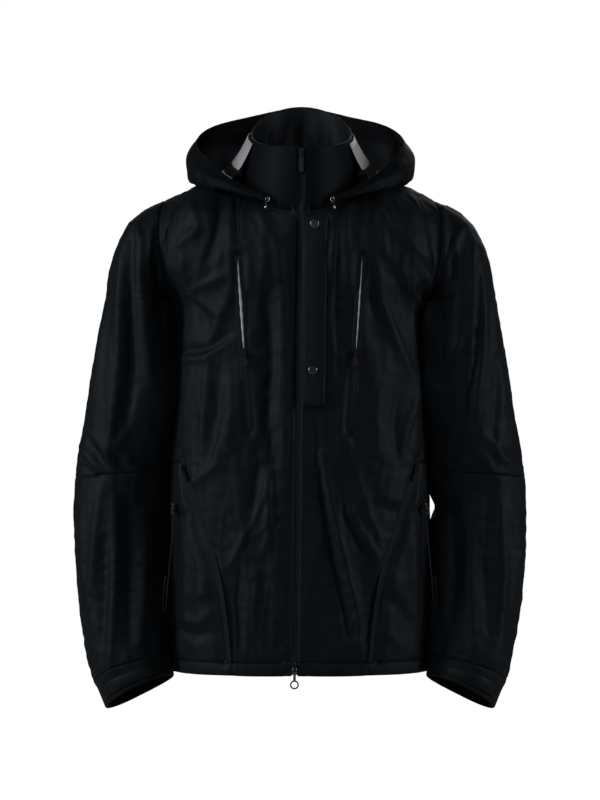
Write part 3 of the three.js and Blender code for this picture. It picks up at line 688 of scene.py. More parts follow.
def cloth_material(name, dark, light, roughness, weave=0.00045, bump=0.25, sheen=0.25,
                   wrinkle=0.12, gloss=0.2):
    """Woven cloth: crossed threads of width weave (metres, in the UVs), mottling and small creases."""
    n = Nodes(name)
    uv = n.add("ShaderNodeUVMap").outputs[0]
    place = n.add("ShaderNodeTexCoord").outputs["Object"]
    split = n.add("ShaderNodeSeparateXYZ")
    n.link(uv, split.inputs[0])
    waves = []
    for axis in ("X", "Y"):
        turned = n.math("MULTIPLY", split.outputs[axis], math.pi / weave)
        waves.append(n.math("SINE", turned))
    threads = n.math("MULTIPLY", waves[0], waves[1])
    mottle = n.noise(place, 14, 4, 0.6)
    fine = n.noise(place, 900, 2, 0.6)
    mix = n.math("ADD", n.math("MULTIPLY", mottle, 0.7), n.math("MULTIPLY", fine, 0.3))
    colour = n.ramp(mix, (0.3, dark), (0.75, light))
    n.link(colour, n.shader.inputs["Base Color"])
    rough = n.math("ADD", n.math("MULTIPLY", n.noise(place, 30, 3), 0.14), roughness - 0.07)
    n.link(rough, n.shader.inputs["Roughness"])
    creases = n.noise(place, 55, 4, 0.55)
    threads = n.math("MULTIPLY", threads, 0.06 * MM)
    heights = n.math("ADD", threads, n.math("MULTIPLY", creases, 4 * wrinkle * MM))
    heights = n.math("ADD", heights, n.math("MULTIPLY", fine, 0.04 * MM))
    b = n.add("ShaderNodeBump", Strength=bump, Distance=1.0)
    n.link(heights, b.inputs["Height"])
    n.link(b.outputs[0], n.shader.inputs["Normal"])
    n.shader.inputs["Specular IOR Level"].default_value = gloss
    n.shader.inputs["Specular Tint"].default_value = (0.68, 0.86, 1.0, 1)
    n.shader.inputs["Sheen Weight"].default_value = sheen
    n.shader.inputs["Sheen Roughness"].default_value = 0.45
    n.shader.inputs["Sheen Tint"].default_value = (0.75, 0.8, 0.9, 1)
    return n.material


def metal_material(name, color, roughness, metallic=1.0):
    """Metal or hard plastic with fine lighter wear spots and uneven gloss."""
    n = Nodes(name)
    place = n.add("ShaderNodeTexCoord").outputs["Object"]
    spots = n.noise(place, 700, 4, 0.65)
    lighter = tuple(min(1.6 * c + 0.003, 1) for c in color)
    n.link(n.ramp(spots, (0.35, color), (0.8, lighter)), n.shader.inputs["Base Color"])
    rough = n.math("ADD", n.math("MULTIPLY", n.noise(place, 260), 0.18), roughness - 0.09)
    n.link(rough, n.shader.inputs["Roughness"])
    n.shader.inputs["Metallic"].default_value = metallic
    b = n.add("ShaderNodeBump", Strength=0.1, Distance=0.0003)
    n.link(spots, b.inputs["Height"])
    n.link(b.outputs[0], n.shader.inputs["Normal"])
    return n.material


shell = cloth_material("shell_cloth", (0.0028, 0.0037, 0.0051), (0.005, 0.0064, 0.0087), 0.6,
                       wrinkle=0.14, sheen=0.02, gloss=0.21)
stand = cloth_material("collar_cloth", (0.0022, 0.003, 0.004), (0.004, 0.0052, 0.0067), 0.58,
                       wrinkle=0.2, sheen=0.02, gloss=0.1)
inner = cloth_material("inner_face", (0.006, 0.006, 0.007), (0.010, 0.010, 0.011), 0.7, 0.0006, sheen=0.03)
lining = cloth_material("lining_cloth", (0.005, 0.005, 0.006), (0.010, 0.010, 0.011), 0.6, 0.0007, sheen=0.04)
satin = cloth_material("grey_satin", (0.42, 0.43, 0.45), (0.62, 0.63, 0.65), 0.35, 0.0003, sheen=0.1)
tape = cloth_material("zip_tape_coated", (0.009, 0.0105, 0.012), (0.014, 0.016, 0.018), 0.42,
                      bump=0.12, sheen=0.03)
thread = cloth_material("thread", (0.0045, 0.0055, 0.007), (0.009, 0.0105, 0.0125), 0.5, 0.0002, sheen=0.05)
braid = cloth_material("braided_cord", (0.01, 0.0105, 0.011), (0.02, 0.021, 0.022), 0.55, 0.0006,
                       bump=0.6, sheen=0.1)
webbing = cloth_material("webbing", (0.006, 0.006, 0.0065), (0.012, 0.012, 0.013), 0.6, 0.0009,
                         bump=0.6, sheen=0.05)
laminate = cloth_material("tab_laminate", (0.004, 0.0045, 0.005), (0.008, 0.0085, 0.009), 0.5,
                          bump=0.3, sheen=0.0)
black_metal = metal_material("black_metal", (0.035, 0.036, 0.04), 0.36, 0.85)
pull_metal = metal_material("pull_metal", (0.03, 0.031, 0.034), 0.45, 0.8)
gunmetal = metal_material("gunmetal", (0.1, 0.1, 0.11), 0.34)
bright_metal = metal_material("bright_metal", (0.5, 0.5, 0.52), 0.25)
plastic = metal_material("black_plastic", (0.012, 0.012, 0.013), 0.42, 0.0)


# ---------------------------------------------------------------- the draped garment

CELL = 7.2
ROWS_LOW = [0.0, 10.0] + list(np.linspace(HEM_HEIGHT, ARMPIT_Z, int((ARMPIT_Z - HEM_HEIGHT) / CELL)))
HEM_ROWS = 2
ROWS_HIGH = 27
# Columns from the front zip to the chest zip, across it, to the pocket zip, across it, and to the side.
FRONT_COLUMNS = (11, 1, 14, 1, 12)
COLUMNS = sum(FRONT_COLUMNS)
CHEST_CELL, POCKET_CELL = FRONT_COLUMNS[0], sum(FRONT_COLUMNS[:3])
NECK_COLUMNS = 16
PLACKET_LOW, PLACKET_HIGH = 396, 676
POCKET_SLIT, CLOSURE_SLIT = 3.8, 4.4  # half widths of the cloth's slits over the zips
SHELL_CLOTH, COLLAR_CLOTH, HOOD_CLOTH, GUSSET_CLOTH = 1.1, 0.8, 0.6, 0.7
SEAM_GROOVE, TURNED_EDGE = 0.9, 0.8  # how far a seamed edge sinks, and one beside the front zip stands up
FRONT_ZIP_REACH = 12
top_s = np.concatenate([
    np.linspace(0, NECK_SHARE, NECK_COLUMNS + 1),
    np.linspace(NECK_SHARE, 1, COLUMNS - NECK_COLUMNS + 1)[1:],
])


def columns_of_row(side, z, chest_x, pocket_x, memory):
    """The s of every front column in the row z; memory keeps what the rows above a zip's end still need."""
    edge = s_where(side, z, lambda zz: side * closure(zz)[0] + CLOSURE_SLIT)
    if z <= CHEST_HIGH[1] + 24:
        open_share = float(np.clip((z - CHEST_OPEN) / (CHEST_HIGH[1] - CHEST_OPEN), 0, 1))
        half = 1.3 + 1.5 * math.sin(math.pi * open_share)
        memory["chest"] = [s_where(side, z, lambda zz, h=h: chest_x(zz) + h) for h in (-half, half)]
    if z <= POCKET_TOP[1] + 6:
        wider = 3.0 * bump(z, POCKET_BEND[1] + 8, 20)  # room for the slider's neck at the bend
        halves = (-1.12 * POCKET_SLIT, 1.12 * POCKET_SLIT + wider)
        memory["pocket"] = [s_where(side, z, lambda zz, h=h: pocket_x(zz) + h) for h in halves]
        memory["pocket_end"] = z
        pocket = memory["pocket"]
    else:
        t = smooth(memory["pocket_end"], ARMPIT_Z, min(z, ARMPIT_Z))
        pocket = [lerp(start, at_armpit, t) for start, at_armpit in zip(memory["pocket"], (0.86, 0.885))]
    marks = [edge, *memory["chest"], *pocket, 1.0]
    s = [edge]
    for k, count in enumerate(FRONT_COLUMNS):
        s.extend(np.linspace(marks[k], marks[k + 1], count + 1)[1:])
    share = (z - ARMPIT_Z) / (SHELL_TOP - ARMPIT_Z)
    if share > 0:
        s = lerp(np.array(s), np.maximum(top_s, edge), smooth(0.48, 1.0, min(share, 1.0)))
    return s


def even_s(count):
    """Shares of the back quarter at equal distances round the body."""
    fine = np.linspace(0, 1, 400)
    pts = np.array([quarter("back", 1, s, 300) for s in fine])
    length = running_length(pts)
    return np.interp(np.linspace(0, length[-1], count + 1), length, fine)


# Where the UVs of the back and of the sleeves start, in metres, so that panels do not share them.
BACK_U, SLEEVE_U = 0.4, 0.8


def add_torso(cloth, hand, side):
    """One half of the body, front and back, with slits over the chest and pocket zips."""
    top, bow, _ = pocket_line(side)
    low, high = chest_line(side)
    pocket_x = line_x(bow + [top])
    stretch = (abs(high[0]) - abs(low[0])) / (high[2] - low[2])

    def chest_x(z):
        """The chest zip's line, carried on above and, less slanted, below it."""
        return abs(low[0]) + stretch * (z - low[2]) * (1 if z > low[2] else 0.25)

    memory = {}
    front, back, uv_front, uv_back = [], [], [], []
    for z in ROWS_LOW + [lerp(ARMPIT_Z, SHELL_TOP, (k + 1) / ROWS_HIGH) for k in range(ROWS_HIGH)]:
        share = max((z - ARMPIT_Z) / (SHELL_TOP - ARMPIT_Z), 0)
        back_row = lerp(even_s(COLUMNS), top_s, smooth(0, 1, share))
        front.append([torso("front", side, s, z) for s in columns_of_row(side, z, chest_x, pocket_x, memory)])
        back.append([torso("back", side, s, z) for s in back_row])
        uv_front.append([(side * d * MM, z * MM) for d in running_length(front[-1])])
        uv_back.append([(side * (BACK_U + d * MM), z * MM) for d in running_length(back[-1])])

    def front_tag(r, c):
        z = (front[r][c][2] + front[r + 1][c][2]) / 2
        if c == CHEST_CELL and CHEST_LOW[1] - 3 < z < CHEST_HIGH[1] + 3:
            return None
        if c == POCKET_CELL and HEM_HEIGHT < z < POCKET_TOP[1] + 2:
            return None
        if r < HEM_ROWS:
            return "hem"
        if c > POCKET_CELL and z < POCKET_TOP[1] + 2:
            return "pocket_" + hand
        return "front_" + hand

    cloth.patch(front, uv_front, front_tag, flip=side < 0)
    cloth.patch(back, uv_back, lambda r, c: "hem" if r < HEM_ROWS else "back", flip=side > 0)


def sleeve_stations():
    """Stations about a cell's length apart along the outer edge."""
    stations = [0.0]
    while stations[-1] < LAST:
        t = stations[-1] / LAST
        speed = np.linalg.norm(outer_edge(min(t + 0.01, 1)) - outer_edge(t)) / (0.01 * LAST)
        stations.append(min(stations[-1] + CELL / max(speed, 40), LAST))
    if LAST - stations[-2] < 0.04:
        stations.pop(-2)
    return stations


def add_sleeve(cloth, hand, side):
    """A sleeve from the armhole, which is its first ring, to the cuff's edge."""
    halves = [("front", k / ROWS_HIGH) for k in range(ROWS_HIGH + 1)]
    halves += [("back", 1 - k / ROWS_HIGH) for k in range(1, ROWS_HIGH + 1)]
    turns = [math.pi * (1 - share) * (-1 if face == "front" else 1) for face, share in halves]
    stations = sleeve_stations()
    rings = [[armhole(face, side, share) for face, share in halves]]
    rings += [[sleeve_point(side, station, turn) for turn in turns] for station in stations[1:]]
    along = running_length([np.mean(ring, 0) for ring in rings])
    uvs = [[(side * (SLEEVE_U + d * MM), v * MM) for d in running_length(ring)]
           for ring, v in zip(rings, along)]

    def tag(r, _):
        station = (stations[r] + stations[r + 1]) / 2
        if station < ELBOW:
            return "upper_" + hand
        return ("forearm_" if station < WRIST else "cuff_") + hand

    cloth.patch(rings, uvs, tag, flip=side > 0)


def build_garment():
    """Torso and sleeves as one welded grid of quads, each cell tagged with the panel it belongs to."""
    cloth = Cloth()
    for hand, side in SIDES:
        add_torso(cloth, hand, side)
        add_sleeve(cloth, hand, side)
    return cloth


# Folds as (points (x, z), height, half width), drawn from the photo. A positive height stands out.
FOLDS = [
    # body, wearer's right
    ([(-64, 690), (-35, 630), (-25, 575), (-27, 480), (-33, 370)], 5, 6),
    ([(-48, 560), (-42, 470), (-46, 380), (-38, 290)], -9, 12),
    ([(-22, 560), (-19, 450), (-22, 330), (-26, 240)], 5, 8),
    ([(-55, 680), (-52, 620), (-58, 560)], 4, 8),
    ([(-104, 705), (-102, 660), (-104, 625)], 7, 9),
    ([(-95, 720), (-94, 640)], -4, 5),
    ([(-118, 700), (-124, 655), (-138, 610)], -6, 10),
    ([(-163, 702), (-150, 660), (-176, 638)], 9, 8),
    ([(-186, 690), (-198, 655), (-206, 635)], 8, 9),
    ([(-140, 700), (-132, 650), (-150, 600)], 5, 8),
    ([(-162, 566), (-135, 580), (-108, 588)], 5, 6),
    ([(-162, 562), (-138, 545), (-112, 528)], 6, 7),
    ([(-158, 556), (-140, 530), (-132, 505)], -5, 7),
    ([(-168, 572), (-176, 600), (-172, 622)], 5, 7),
    ([(-94, 595), (-110, 545), (-128, 505), (-136, 480)], 6, 8),
    ([(-180, 478), (-136, 480), (-102, 505)], -7, 7),
    ([(-182, 464), (-138, 468), (-104, 492)], 6, 6),
    ([(-102, 440), (-101, 390), (-106, 330)], 7, 8),
    ([(-84, 470), (-86, 400), (-84, 345)], 4, 7),
    ([(-136, 460), (-138, 400), (-146, 340)], 6, 11),
    ([(-120, 450), (-122, 390), (-128, 330)], -6, 9),
    ([(-112, 374), (-122, 310), (-162, 278)], 6, 9),
    ([(-50, 296), (-46, 240), (-52, 180)], 6, 7),
    ([(-40, 300), (-70, 225), (-102, 162)], 6, 7),
    ([(-62, 330), (-66, 250), (-80, 190)], -6, 10),
    ([(-30, 230), (-34, 150), (-30, 60)], 5, 9),
    ([(-64, 150), (-70, 60)], 5, 9),
    ([(-86, 170), (-92, 110), (-88, 50)], -4, 8),
    ([(-186, 66), (-158, 58), (-134, 62)], -6, 6),
    ([(-184, 80), (-150, 76), (-128, 92)], 5, 7),
    ([(-150, 220), (-138, 150), (-150, 110)], 6, 9),
    ([(-176, 230), (-170, 160), (-176, 90)], 5, 10),
    ([(-120, 140), (-136, 120), (-160, 116)], 4, 6),
    ([(-196, 238), (-165, 230)], -6, 6),
    ([(-155, 290), (-178, 262), (-190, 250)], 6, 7),
    # body, wearer's left
    ([(36, 600), (42, 555), (31, 510), (40, 440), (44, 410)], 7, 5),
    ([(58, 640), (54, 540), (58, 440)], -7, 9),
    ([(70, 700), (66, 640), (72, 580)], 5, 7),
    ([(44, 700), (50, 650), (46, 600)], 4, 7),
    ([(110, 628), (120, 550), (150, 480), (170, 435)], 8, 7),
    ([(121, 706), (140, 665), (182, 620)], 8, 8),
    ([(118, 700), (122, 640), (134, 600)], 6, 7),
    ([(104, 640), (106, 560), (118, 480)], -7, 9),
    ([(132, 610), (148, 570), (158, 520)], -5, 8),
    ([(164, 566), (186, 545), (190, 510)], 6, 7),
    ([(168, 574), (188, 590), (196, 560)], 5, 6),
    ([(160, 578), (150, 600), (158, 628)], 5, 7),
    ([(162, 690), (174, 640)], 7, 8),
    ([(190, 670), (198, 606), (190, 500), (190, 400)], 6, 6),
    ([(70, 470), (74, 400), (68, 330)], 4, 8),
    ([(32, 325), (50, 230), (68, 156), (84, 92), (88, 30)], 10, 7),
    ([(22, 400), (26, 320), (40, 230), (56, 150), (70, 60)], -9, 9),
    ([(64, 262), (86, 215), (112, 176)], 8, 7),
    ([(84, 300), (100, 240), (120, 190)], 5, 7),
    ([(52, 300), (70, 230), (98, 170)], -5, 7),
    ([(178, 440), (177, 360), (174, 300)], 8, 7),
    ([(186, 440), (164, 380), (150, 330)], 6, 8),
    ([(150, 430), (140, 370), (146, 300)], -7, 9),
    ([(120, 430), (112, 380), (118, 320)], 4, 8),
    ([(124, 244), (160, 236), (204, 246)], -7, 6),
    ([(120, 262), (160, 254), (200, 262)], 6, 7),
    ([(112, 170), (140, 140), (150, 100)], 6, 8),
    ([(116, 120), (150, 96), (160, 60)], -5, 8),
    ([(172, 220), (168, 150), (176, 80)], 6, 9),
    ([(104, 90), (130, 60), (150, 40)], 4, 6),
    # wearer's right sleeve
    ([(-212, 690), (-222, 650), (-226, 600), (-222, 540), (-214, 470)], 8, 9),
    ([(-244, 668), (-236, 640), (-238, 590), (-234, 540), (-228, 480), (-222, 430)], 10, 8),
    ([(-252, 666), (-266, 625), (-268, 560), (-270, 470), (-280, 380), (-286, 320)], 10, 8),
    ([(-250, 640), (-251, 560), (-250, 460), (-256, 360)], -10, 9),
    ([(-214, 620), (-210, 560), (-206, 500)], -6, 8),
    ([(-288, 560), (-300, 470), (-314, 390)], 6, 9),
    ([(-240, 420), (-252, 370), (-272, 330)], 6, 8),
    ([(-318, 350), (-300, 322), (-288, 300)], -9, 6),
    ([(-332, 338), (-310, 312), (-290, 296)], 8, 5),
    ([(-308, 352), (-290, 330), (-280, 308)], 8, 6),
    ([(-332, 312), (-314, 298), (-296, 292)], -8, 5),
    ([(-268, 330), (-250, 306), (-226, 300)], 6, 6),
    ([(-276, 262), (-275, 150), (-279, 60), (-282, 0)], 9, 7),
    ([(-296, 270), (-306, 190), (-312, 120)], 7, 8),
    ([(-290, 200), (-290, 120), (-292, 40)], -7, 7),
    ([(-250, 250), (-254, 160), (-252, 40)], -7, 10),
    ([(-328, 250), (-326, 160), (-306, 60)], 6, 10),
    ([(-232, 240), (-230, 140), (-238, 40)], 6, 9),
    # wearer's left sleeve
    ([(212, 692), (216, 640), (206, 590)], 9, 7),
    ([(242, 664), (220, 610), (214, 560)], 9, 6),
    ([(228, 664), (226, 620), (232, 580)], -7, 7),
    ([(246, 668), (258, 640), (258, 530), (250, 430)], 9, 7),
    ([(270, 630), (272, 500), (262, 400), (258, 340)], 9, 7),
    ([(264, 610), (263, 480), (250, 380)], -8, 6),
    ([(284, 570), (294, 480), (306, 400)], 7, 8),
    ([(240, 560), (236, 500), (228, 450)], 6, 8),
    ([(234, 472), (222, 452), (208, 430)], -8, 7),
    ([(240, 500), (226, 470), (212, 450)], 7, 7),
    ([(296, 500), (294, 420), (288, 340)], -6, 8),
    ([(300, 330), (322, 316), (332, 300)], -8, 6),
    ([(284, 346), (300, 322), (324, 302)], 8, 6),
    ([(268, 330), (284, 306), (290, 290)], 7, 6),
    ([(262, 318), (240, 304), (226, 290)], 6, 6),
    ([(300, 250), (304, 150), (296, 40)], 8, 8),
    ([(280, 260), (276, 160), (280, 60)], -7, 9),
    ([(322, 240), (330, 180), (322, 110)], 6, 9),
    ([(254, 240), (252, 130), (258, 30)], 7, 9),
    ([(226, 240), (230, 150), (226, 60)], -6, 9),
]


def fold_heights(points, folds):
    """Sum of the folds at points (x, z), each a smooth ridge along its line that fades at both ends."""
    total = np.zeros(len(points))
    for line, height, width in folds:
        pts = np.array(resample([(x, 0, z) for x, z in line], 4))[:, [0, 2]]
        reach = 3.2 * width
        inside = ((points > pts.min(0) - reach) & (points < pts.max(0) + reach)).all(1)
        some = points[inside]
        if not len(some):
            continue
        d2 = ((some[:, None, :] - pts[None, :, :]) ** 2).sum(2)
        best = d2.argmin(1) / (len(pts) - 1)
        fade = np.clip(np.sin(np.pi * (best * 0.84 + 0.08)), 0, 1) ** 0.6
        total[inside] += height * fade * np.exp(-((np.sqrt(d2.min(1)) / width) ** 1.2))
    return total


def drawn_folds(co, normal):
    """Heights of the drawn folds, in front, and mirrored behind."""
    facing = smooth(-0.1, 0.4, -normal[:, 1])
    behind = smooth(-0.1, 0.4, normal[:, 1])
    front = fold_heights(co[:, [0, 2]], FOLDS)
    back = fold_heights(np.stack([-co[:, 0] * 0.96, co[:, 2] + 14], 1), FOLDS)
    return front * facing + 0.8 * back * behind


def waves(co, height, across, along, seed):
    """Long soft undulations that run down the garment."""
    shift = Vector((seed, 2.3 * seed, 0))
    return height * np.array([noise.noise(Vector(p) + shift) for p in co * [across, across, along]])


def ridges(co, height, across, along, seed):
    """Narrow crests with flat hollows between them, running down the garment."""
    shift = Vector((seed, 2.3 * seed, 0))
    lean_out = co[:, 0] + 0.05 * co[:, 2] * np.sign(co[:, 0])
    places = np.stack([lean_out * across, co[:, 1] * across, co[:, 2] * along], 1)
    return height * np.array([(1 - 2 * abs(noise.noise(Vector(p) + shift))) ** 3 for p in places])


def near_line(co, points, reach):
    """1 on a line of points, falling to 0 at reach, for every row of co."""
    tree = kdtree.KDTree(len(points))
    for k, p in enumerate(points):
        tree.insert(p, k)
    tree.balance()
    d = np.array([tree.find(p)[2] for p in co])
    return 1 - smooth(reach * 0.35, reach, d)


DRAPE_FRAMES, RELAX_ROUNDS = 16, 30
LOOSE_HOLD = 0.35  # how firmly the cloth away from the seams keeps its place while it drapes


def drape(obj, hold):
    """Lets the mesh hang as cloth, held by the weights, and keeps the result."""
    group = obj.vertex_groups.new(name="hold")
    for k, w in enumerate(hold):
        group.add([k], float(w), "REPLACE")
    mod = obj.modifiers.new("hang", "CLOTH")
    s = mod.settings
    s.vertex_group_mass = "hold"
    s.pin_stiffness = 1.0
    s.quality = 6
    s.mass = 0.12
    s.air_damping = 2.0
    s.tension_stiffness = s.compression_stiffness = 25.0
    s.shear_stiffness = 8.0
    s.bending_stiffness = 2.0
    s.tension_damping = s.compression_damping = 8.0
    s.shear_damping = 6.0
    s.bending_damping = 1.0
    s.shrink_min = s.shrink_max = -0.008
    s.use_pressure = True
    s.uniform_pressure_force = 0.3
    mod.collision_settings.use_collision = False
    mod.collision_settings.use_self_collision = False
    mod.point_cache.frame_start = 1
    mod.point_cache.frame_end = DRAPE_FRAMES
    scene = bpy.context.scene
    scene.frame_start, scene.frame_end = 1, DRAPE_FRAMES
    for f in range(1, DRAPE_FRAMES + 1):
        scene.frame_set(f)
    evaluated(obj)
    obj.vertex_groups.clear()
    scene.frame_set(1)


BODY_REACH_X = 201  # beyond this only sleeves are found


def held(co, reach):
    """1 where sewing holds the cloth: along zips, neck, hem and cuffs."""
    lines = [resample([CLOSURE_BOTTOM, CLOSURE_TOP], 6)]
    for _, side in SIDES:
        top, bow, _ = pocket_line(side)
        lines.append(resample(bow + [top], 6))
        lines.append(resample(chest_line(side), 6))
        lines.append([neck_seam(side, d) for d in range(0, 181, 4)])
    fixed = np.zeros(len(co))
    for line in lines:
        fixed = np.maximum(fixed, near_line(co, line, reach))
    turns = np.linspace(0, 2 * math.pi, 60)
    cuffs = [sleeve_point(side, st, a) for _, side in SIDES for st in (LAST, LAST - 0.35) for a in turns]
    fixed = np.maximum(fixed, 0.9 * near_line(co, cuffs, 2 * reach))
    on_body = np.abs(co[:, 0]) < BODY_REACH_X
    hem = (1 - smooth(HEM_HEIGHT, HEM_HEIGHT + 1.6 * reach, co[:, 2])) * on_body
    x, y, z = co.T
    placket = smooth(4, 9, x) * smooth(48, 42, x) * smooth(PLACKET_LOW - 12, PLACKET_LOW, z)
    placket = placket * smooth(PLACKET_HIGH + 14, PLACKET_HIGH + 4, z)
    return np.maximum(np.maximum(fixed, 0.75 * hem), placket * (y < 0))


def body_room(y, z):
    """Half-width of the body at depth y and height z, for arrays."""
    zs = np.linspace(-10, ARMPIT_Z, 60)
    wide = np.interp(z, zs, [half_width(max(v, 0)) for v in zs])
    front = np.interp(z, zs, [-closure(v)[1] for v in zs])
    behind = np.interp(z, zs, [back_depth(max(v, 0)) for v in zs])
    share = np.clip(np.abs(y) / np.where(y < 0, front, behind), 0, 1)
    return wide * (1 - share**ROUNDNESS) ** (1 / ROUNDNESS)


SLEEVE_SINKS = 2.0  # how far the sleeve may press into the body's outline


def keep_clear(co, sleeve):
    """Pushes sleeve points out of the body they rest on."""
    room = body_room(co[:, 1], co[:, 2]) - SLEEVE_SINKS
    beside = (co[:, 2] > -6) & (co[:, 2] < ARMPIT_Z - 1)
    near = sleeve & beside & (np.abs(co[:, 0]) < room)
    co[near, 0] = np.sign(co[near, 0]) * room[near]
    return co


def limited(heights, co, sleeve):
    """Near the sleeves the body's folds may only sink."""
    side_zone = smooth(0.86, 0.95, np.abs(co[:, 0]) / 194) * (co[:, 2] < 545) * ~sleeve
    return np.where(side_zone > 0, lerp(heights, np.clip(heights, -1.2, 0), side_zone), heights)


def tagged(mesh, wanted):
    """Which vertices belong only to polygons whose material index is wanted."""
    inside = np.zeros(len(mesh.vertices), bool)
    outside = np.zeros(len(mesh.vertices), bool)
    for poly in mesh.polygons:
        target = inside if poly.material_index in wanted else outside
        target[list(poly.vertices)] = True
    return inside & ~outside


def shift_along_normals(mesh, make_heights, sleeve):
    co, normal = arrays(mesh)
    co = co / MM
    heights = limited(make_heights(co, normal), co, sleeve)
    co = keep_clear(co + normal * heights[:, None], sleeve)
    put(mesh, co * MM)


def relax(mesh, make_weight):
    """Evens out the cloth where the weight is not zero."""
    edges = np.array([e.vertices for e in mesh.edges])
    co, _ = arrays(mesh)
    weight = (0.5 * make_weight(co / MM))[:, None]
    count = np.zeros(len(co))
    np.add.at(count, edges.ravel(), 1)
    for _ in range(RELAX_ROUNDS):
        total = np.zeros_like(co)
        np.add.at(total, edges[:, 0], co[edges[:, 1]])
        np.add.at(total, edges[:, 1], co[edges[:, 0]])
        co = lerp(co, total / count[:, None], weight)
    put(mesh, co)


# How far over the tape's line the cloth may reach, at the zip and beside it.
CHANNEL_FLOOR, CHANNEL_TOP = -0.35, 1.7


def seat_zips(co):
    """Keeps the cloth beside the zips in a shallow channel, so the sliders and pulls pass over it."""
    for _, side in SIDES:
        top, bow, out = pocket_line(side)
        for line, ahead in ((list(chest_line(side)), forwards(None)), (bow + [top], out)):
            points = np.array(resample(line, 2))
            near = ((co > points.min(0) - 16) & (co < points.max(0) + 16)).all(1)
            part = co[near]
            gap = part[:, None, :] - points[None, :, :]
            flat = gap - (gap @ ahead)[:, :, None] * ahead
            apart = (flat**2).sum(2)
            best = apart.argmin(1)
            rows = np.arange(len(part))
            height = gap[rows, best] @ ahead
            aside = np.sqrt(apart[rows, best])
            floor = CHANNEL_FLOOR
            if len(line) > 2:  # deeper round the pocket zip's bend, where the slider stops
                floor = CHANNEL_FLOOR - 1.4 * np.exp(-(((part - line[-2]) ** 2).sum(1) / 14**2))
            limit = lerp(floor, CHANNEL_TOP, smooth(6.8, 10.5, aside))
            drop = (height - np.minimum(height, limit)) * (1 - smooth(9, 14, aside))
            co[near] = part - drop[:, None] * ahead
    return co


def garment_object():
    """The garment draped and creased, and its panels' names; each polygon's material slot is its panel."""
    cloth = build_garment()
    names = sorted(set(cloth.tags))
    slots = [names.index(t) for t in cloth.tags]
    blanks = [bpy.data.materials.new("tag_" + n) for n in names]
    obj = make_object("garment", cloth.points, cloth.faces, blanks, cloth.uvs, slots)
    sleeves = {k for k, n in enumerate(names) if n.split("_")[0] in ("upper", "forearm", "cuff")}

    def broad(co, normal):
        loose = 1 - held(co, 26)
        return loose * (0.2 * drawn_folds(co, normal) + waves(co, 1.4, 0.017, 0.004, seed=1.0))

    def fine(co, normal):
        loose = 1 - held(co, 11)
        creases = 0.7 * drawn_folds(co, normal) + ridges(co, 1.7, 0.024, 0.0026, seed=5.0)
        small = waves(co, 0.35, 0.11, 0.04, seed=9.0)
        return loose * (creases + ridges(co, 1.0, 0.055, 0.009, seed=12.0) + small)

    def upper_body(co):
        return (1 - held(co, 24)) * ~sleeve * smooth(470, 520, co[:, 2]) * smooth(690, 640, co[:, 2])

    sleeve = tagged(obj.data, sleeves)
    relax(obj.data, upper_body)
    shift_along_normals(obj.data, broad, sleeve)
    co, _ = arrays(obj.data)
    hold = np.maximum(np.where(held(co / MM, 14) > 0.8, 1.0, 0.0), LOOSE_HOLD)
    drape(obj, hold)
    co, _ = arrays(obj.data)
    put(obj.data, keep_clear(co / MM, sleeve) * MM)
    subdivide(obj)
    shift_along_normals(obj.data, fine, tagged(obj.data, sleeves))
    co, _ = arrays(obj.data)
    put(obj.data, seat_zips(co / MM) * MM)
    return obj, names


# ---------------------------------------------------------------- pieces


def finish_edges(obj):
    """Sinks a piece's open edges into a seam groove; beside the front zip they turn over and rise."""
    mesh = obj.data
    co, normal = arrays(mesh)
    edge = boundary(mesh)
    at_zip = (held(co[edge] / MM, 9) > 0.6) & (np.abs(co[edge, 0]) < FRONT_ZIP_REACH * MM)
    for k, raised in zip(edge, at_zip):
        co[k] += normal[k] * MM * (TURNED_EDGE if raised else -SEAM_GROOVE)
    put(mesh, co)


def settle(obj):
    """Moves a finished piece from the hem's frame to the shared frame."""
    obj.data.transform(Matrix.Translation(-DATUM))


def spot(x, y, z):
    """A place in the shared frame, given in metres from the middle of the hem."""
    return Vector((x, y, z)) - DATUM


def place(obj, body, slot_name, *nodes):
    """Moves a piece to the shared frame, on its body, in place of the CAD nodes named."""
    settle(obj)
    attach(obj, body)
    if nodes:
        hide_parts(*nodes)
    return obj


def bend_sleeve(obj):
    """Moves a sleeve piece to the shared frame and bakes its placement into its mesh."""
    settle(obj)
    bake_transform(obj)


def cut_garment():
    """The draped garment cut into its panels, by name, and a search tree of it before the cut."""
    obj, names = garment_object()
    tags = np.empty(len(obj.data.polygons), np.int32)
    obj.data.polygons.foreach_get("material_index", tags)
    surface, _ = arrays(obj.data)
    tree = bvhtree.BVHTree.FromPolygons(surface.tolist(), [tuple(f.vertices) for f in obj.data.polygons])
    made = {}
    for k, name in enumerate(names):
        piece = part_of(obj, name, tags == k, [shell, inner])
        finish_edges(piece)
        thicken(piece, SHELL_CLOTH)
        made[name] = piece
    bpy.data.objects.remove(obj)
    return made, tree


def add_garment():
    """Places the cut pieces; returns a search tree of the draped surface they were cut from."""
    pieces, tree = cut_garment()
    for name, obj in pieces.items():
        obj.name = obj.data.name = "cloth_" + name
    place(pieces["back"], "jacket", "shell_fabric", "back_panel")
    place(pieces["hem"], "jacket", "shell_fabric", "hem_band")
    for hand, side in SIDES:
        place(pieces["front_" + hand], "jacket", "shell_fabric", "front_panel_" + hand)
        place(pieces["pocket_" + hand], "jacket", "shell_fabric", "pocket_panel_" + hand)
        bend_sleeve(pieces["upper_" + hand])
        bend_sleeve(pieces["forearm_" + hand])
        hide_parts("sleeve_head_" + hand, "upper_sleeve_" + hand)
        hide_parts("forearm_sleeve_" + hand)
        place(pieces["cuff_" + hand], "forearm_" + hand, "shell_fabric", "cuff_" + hand)
    return tree


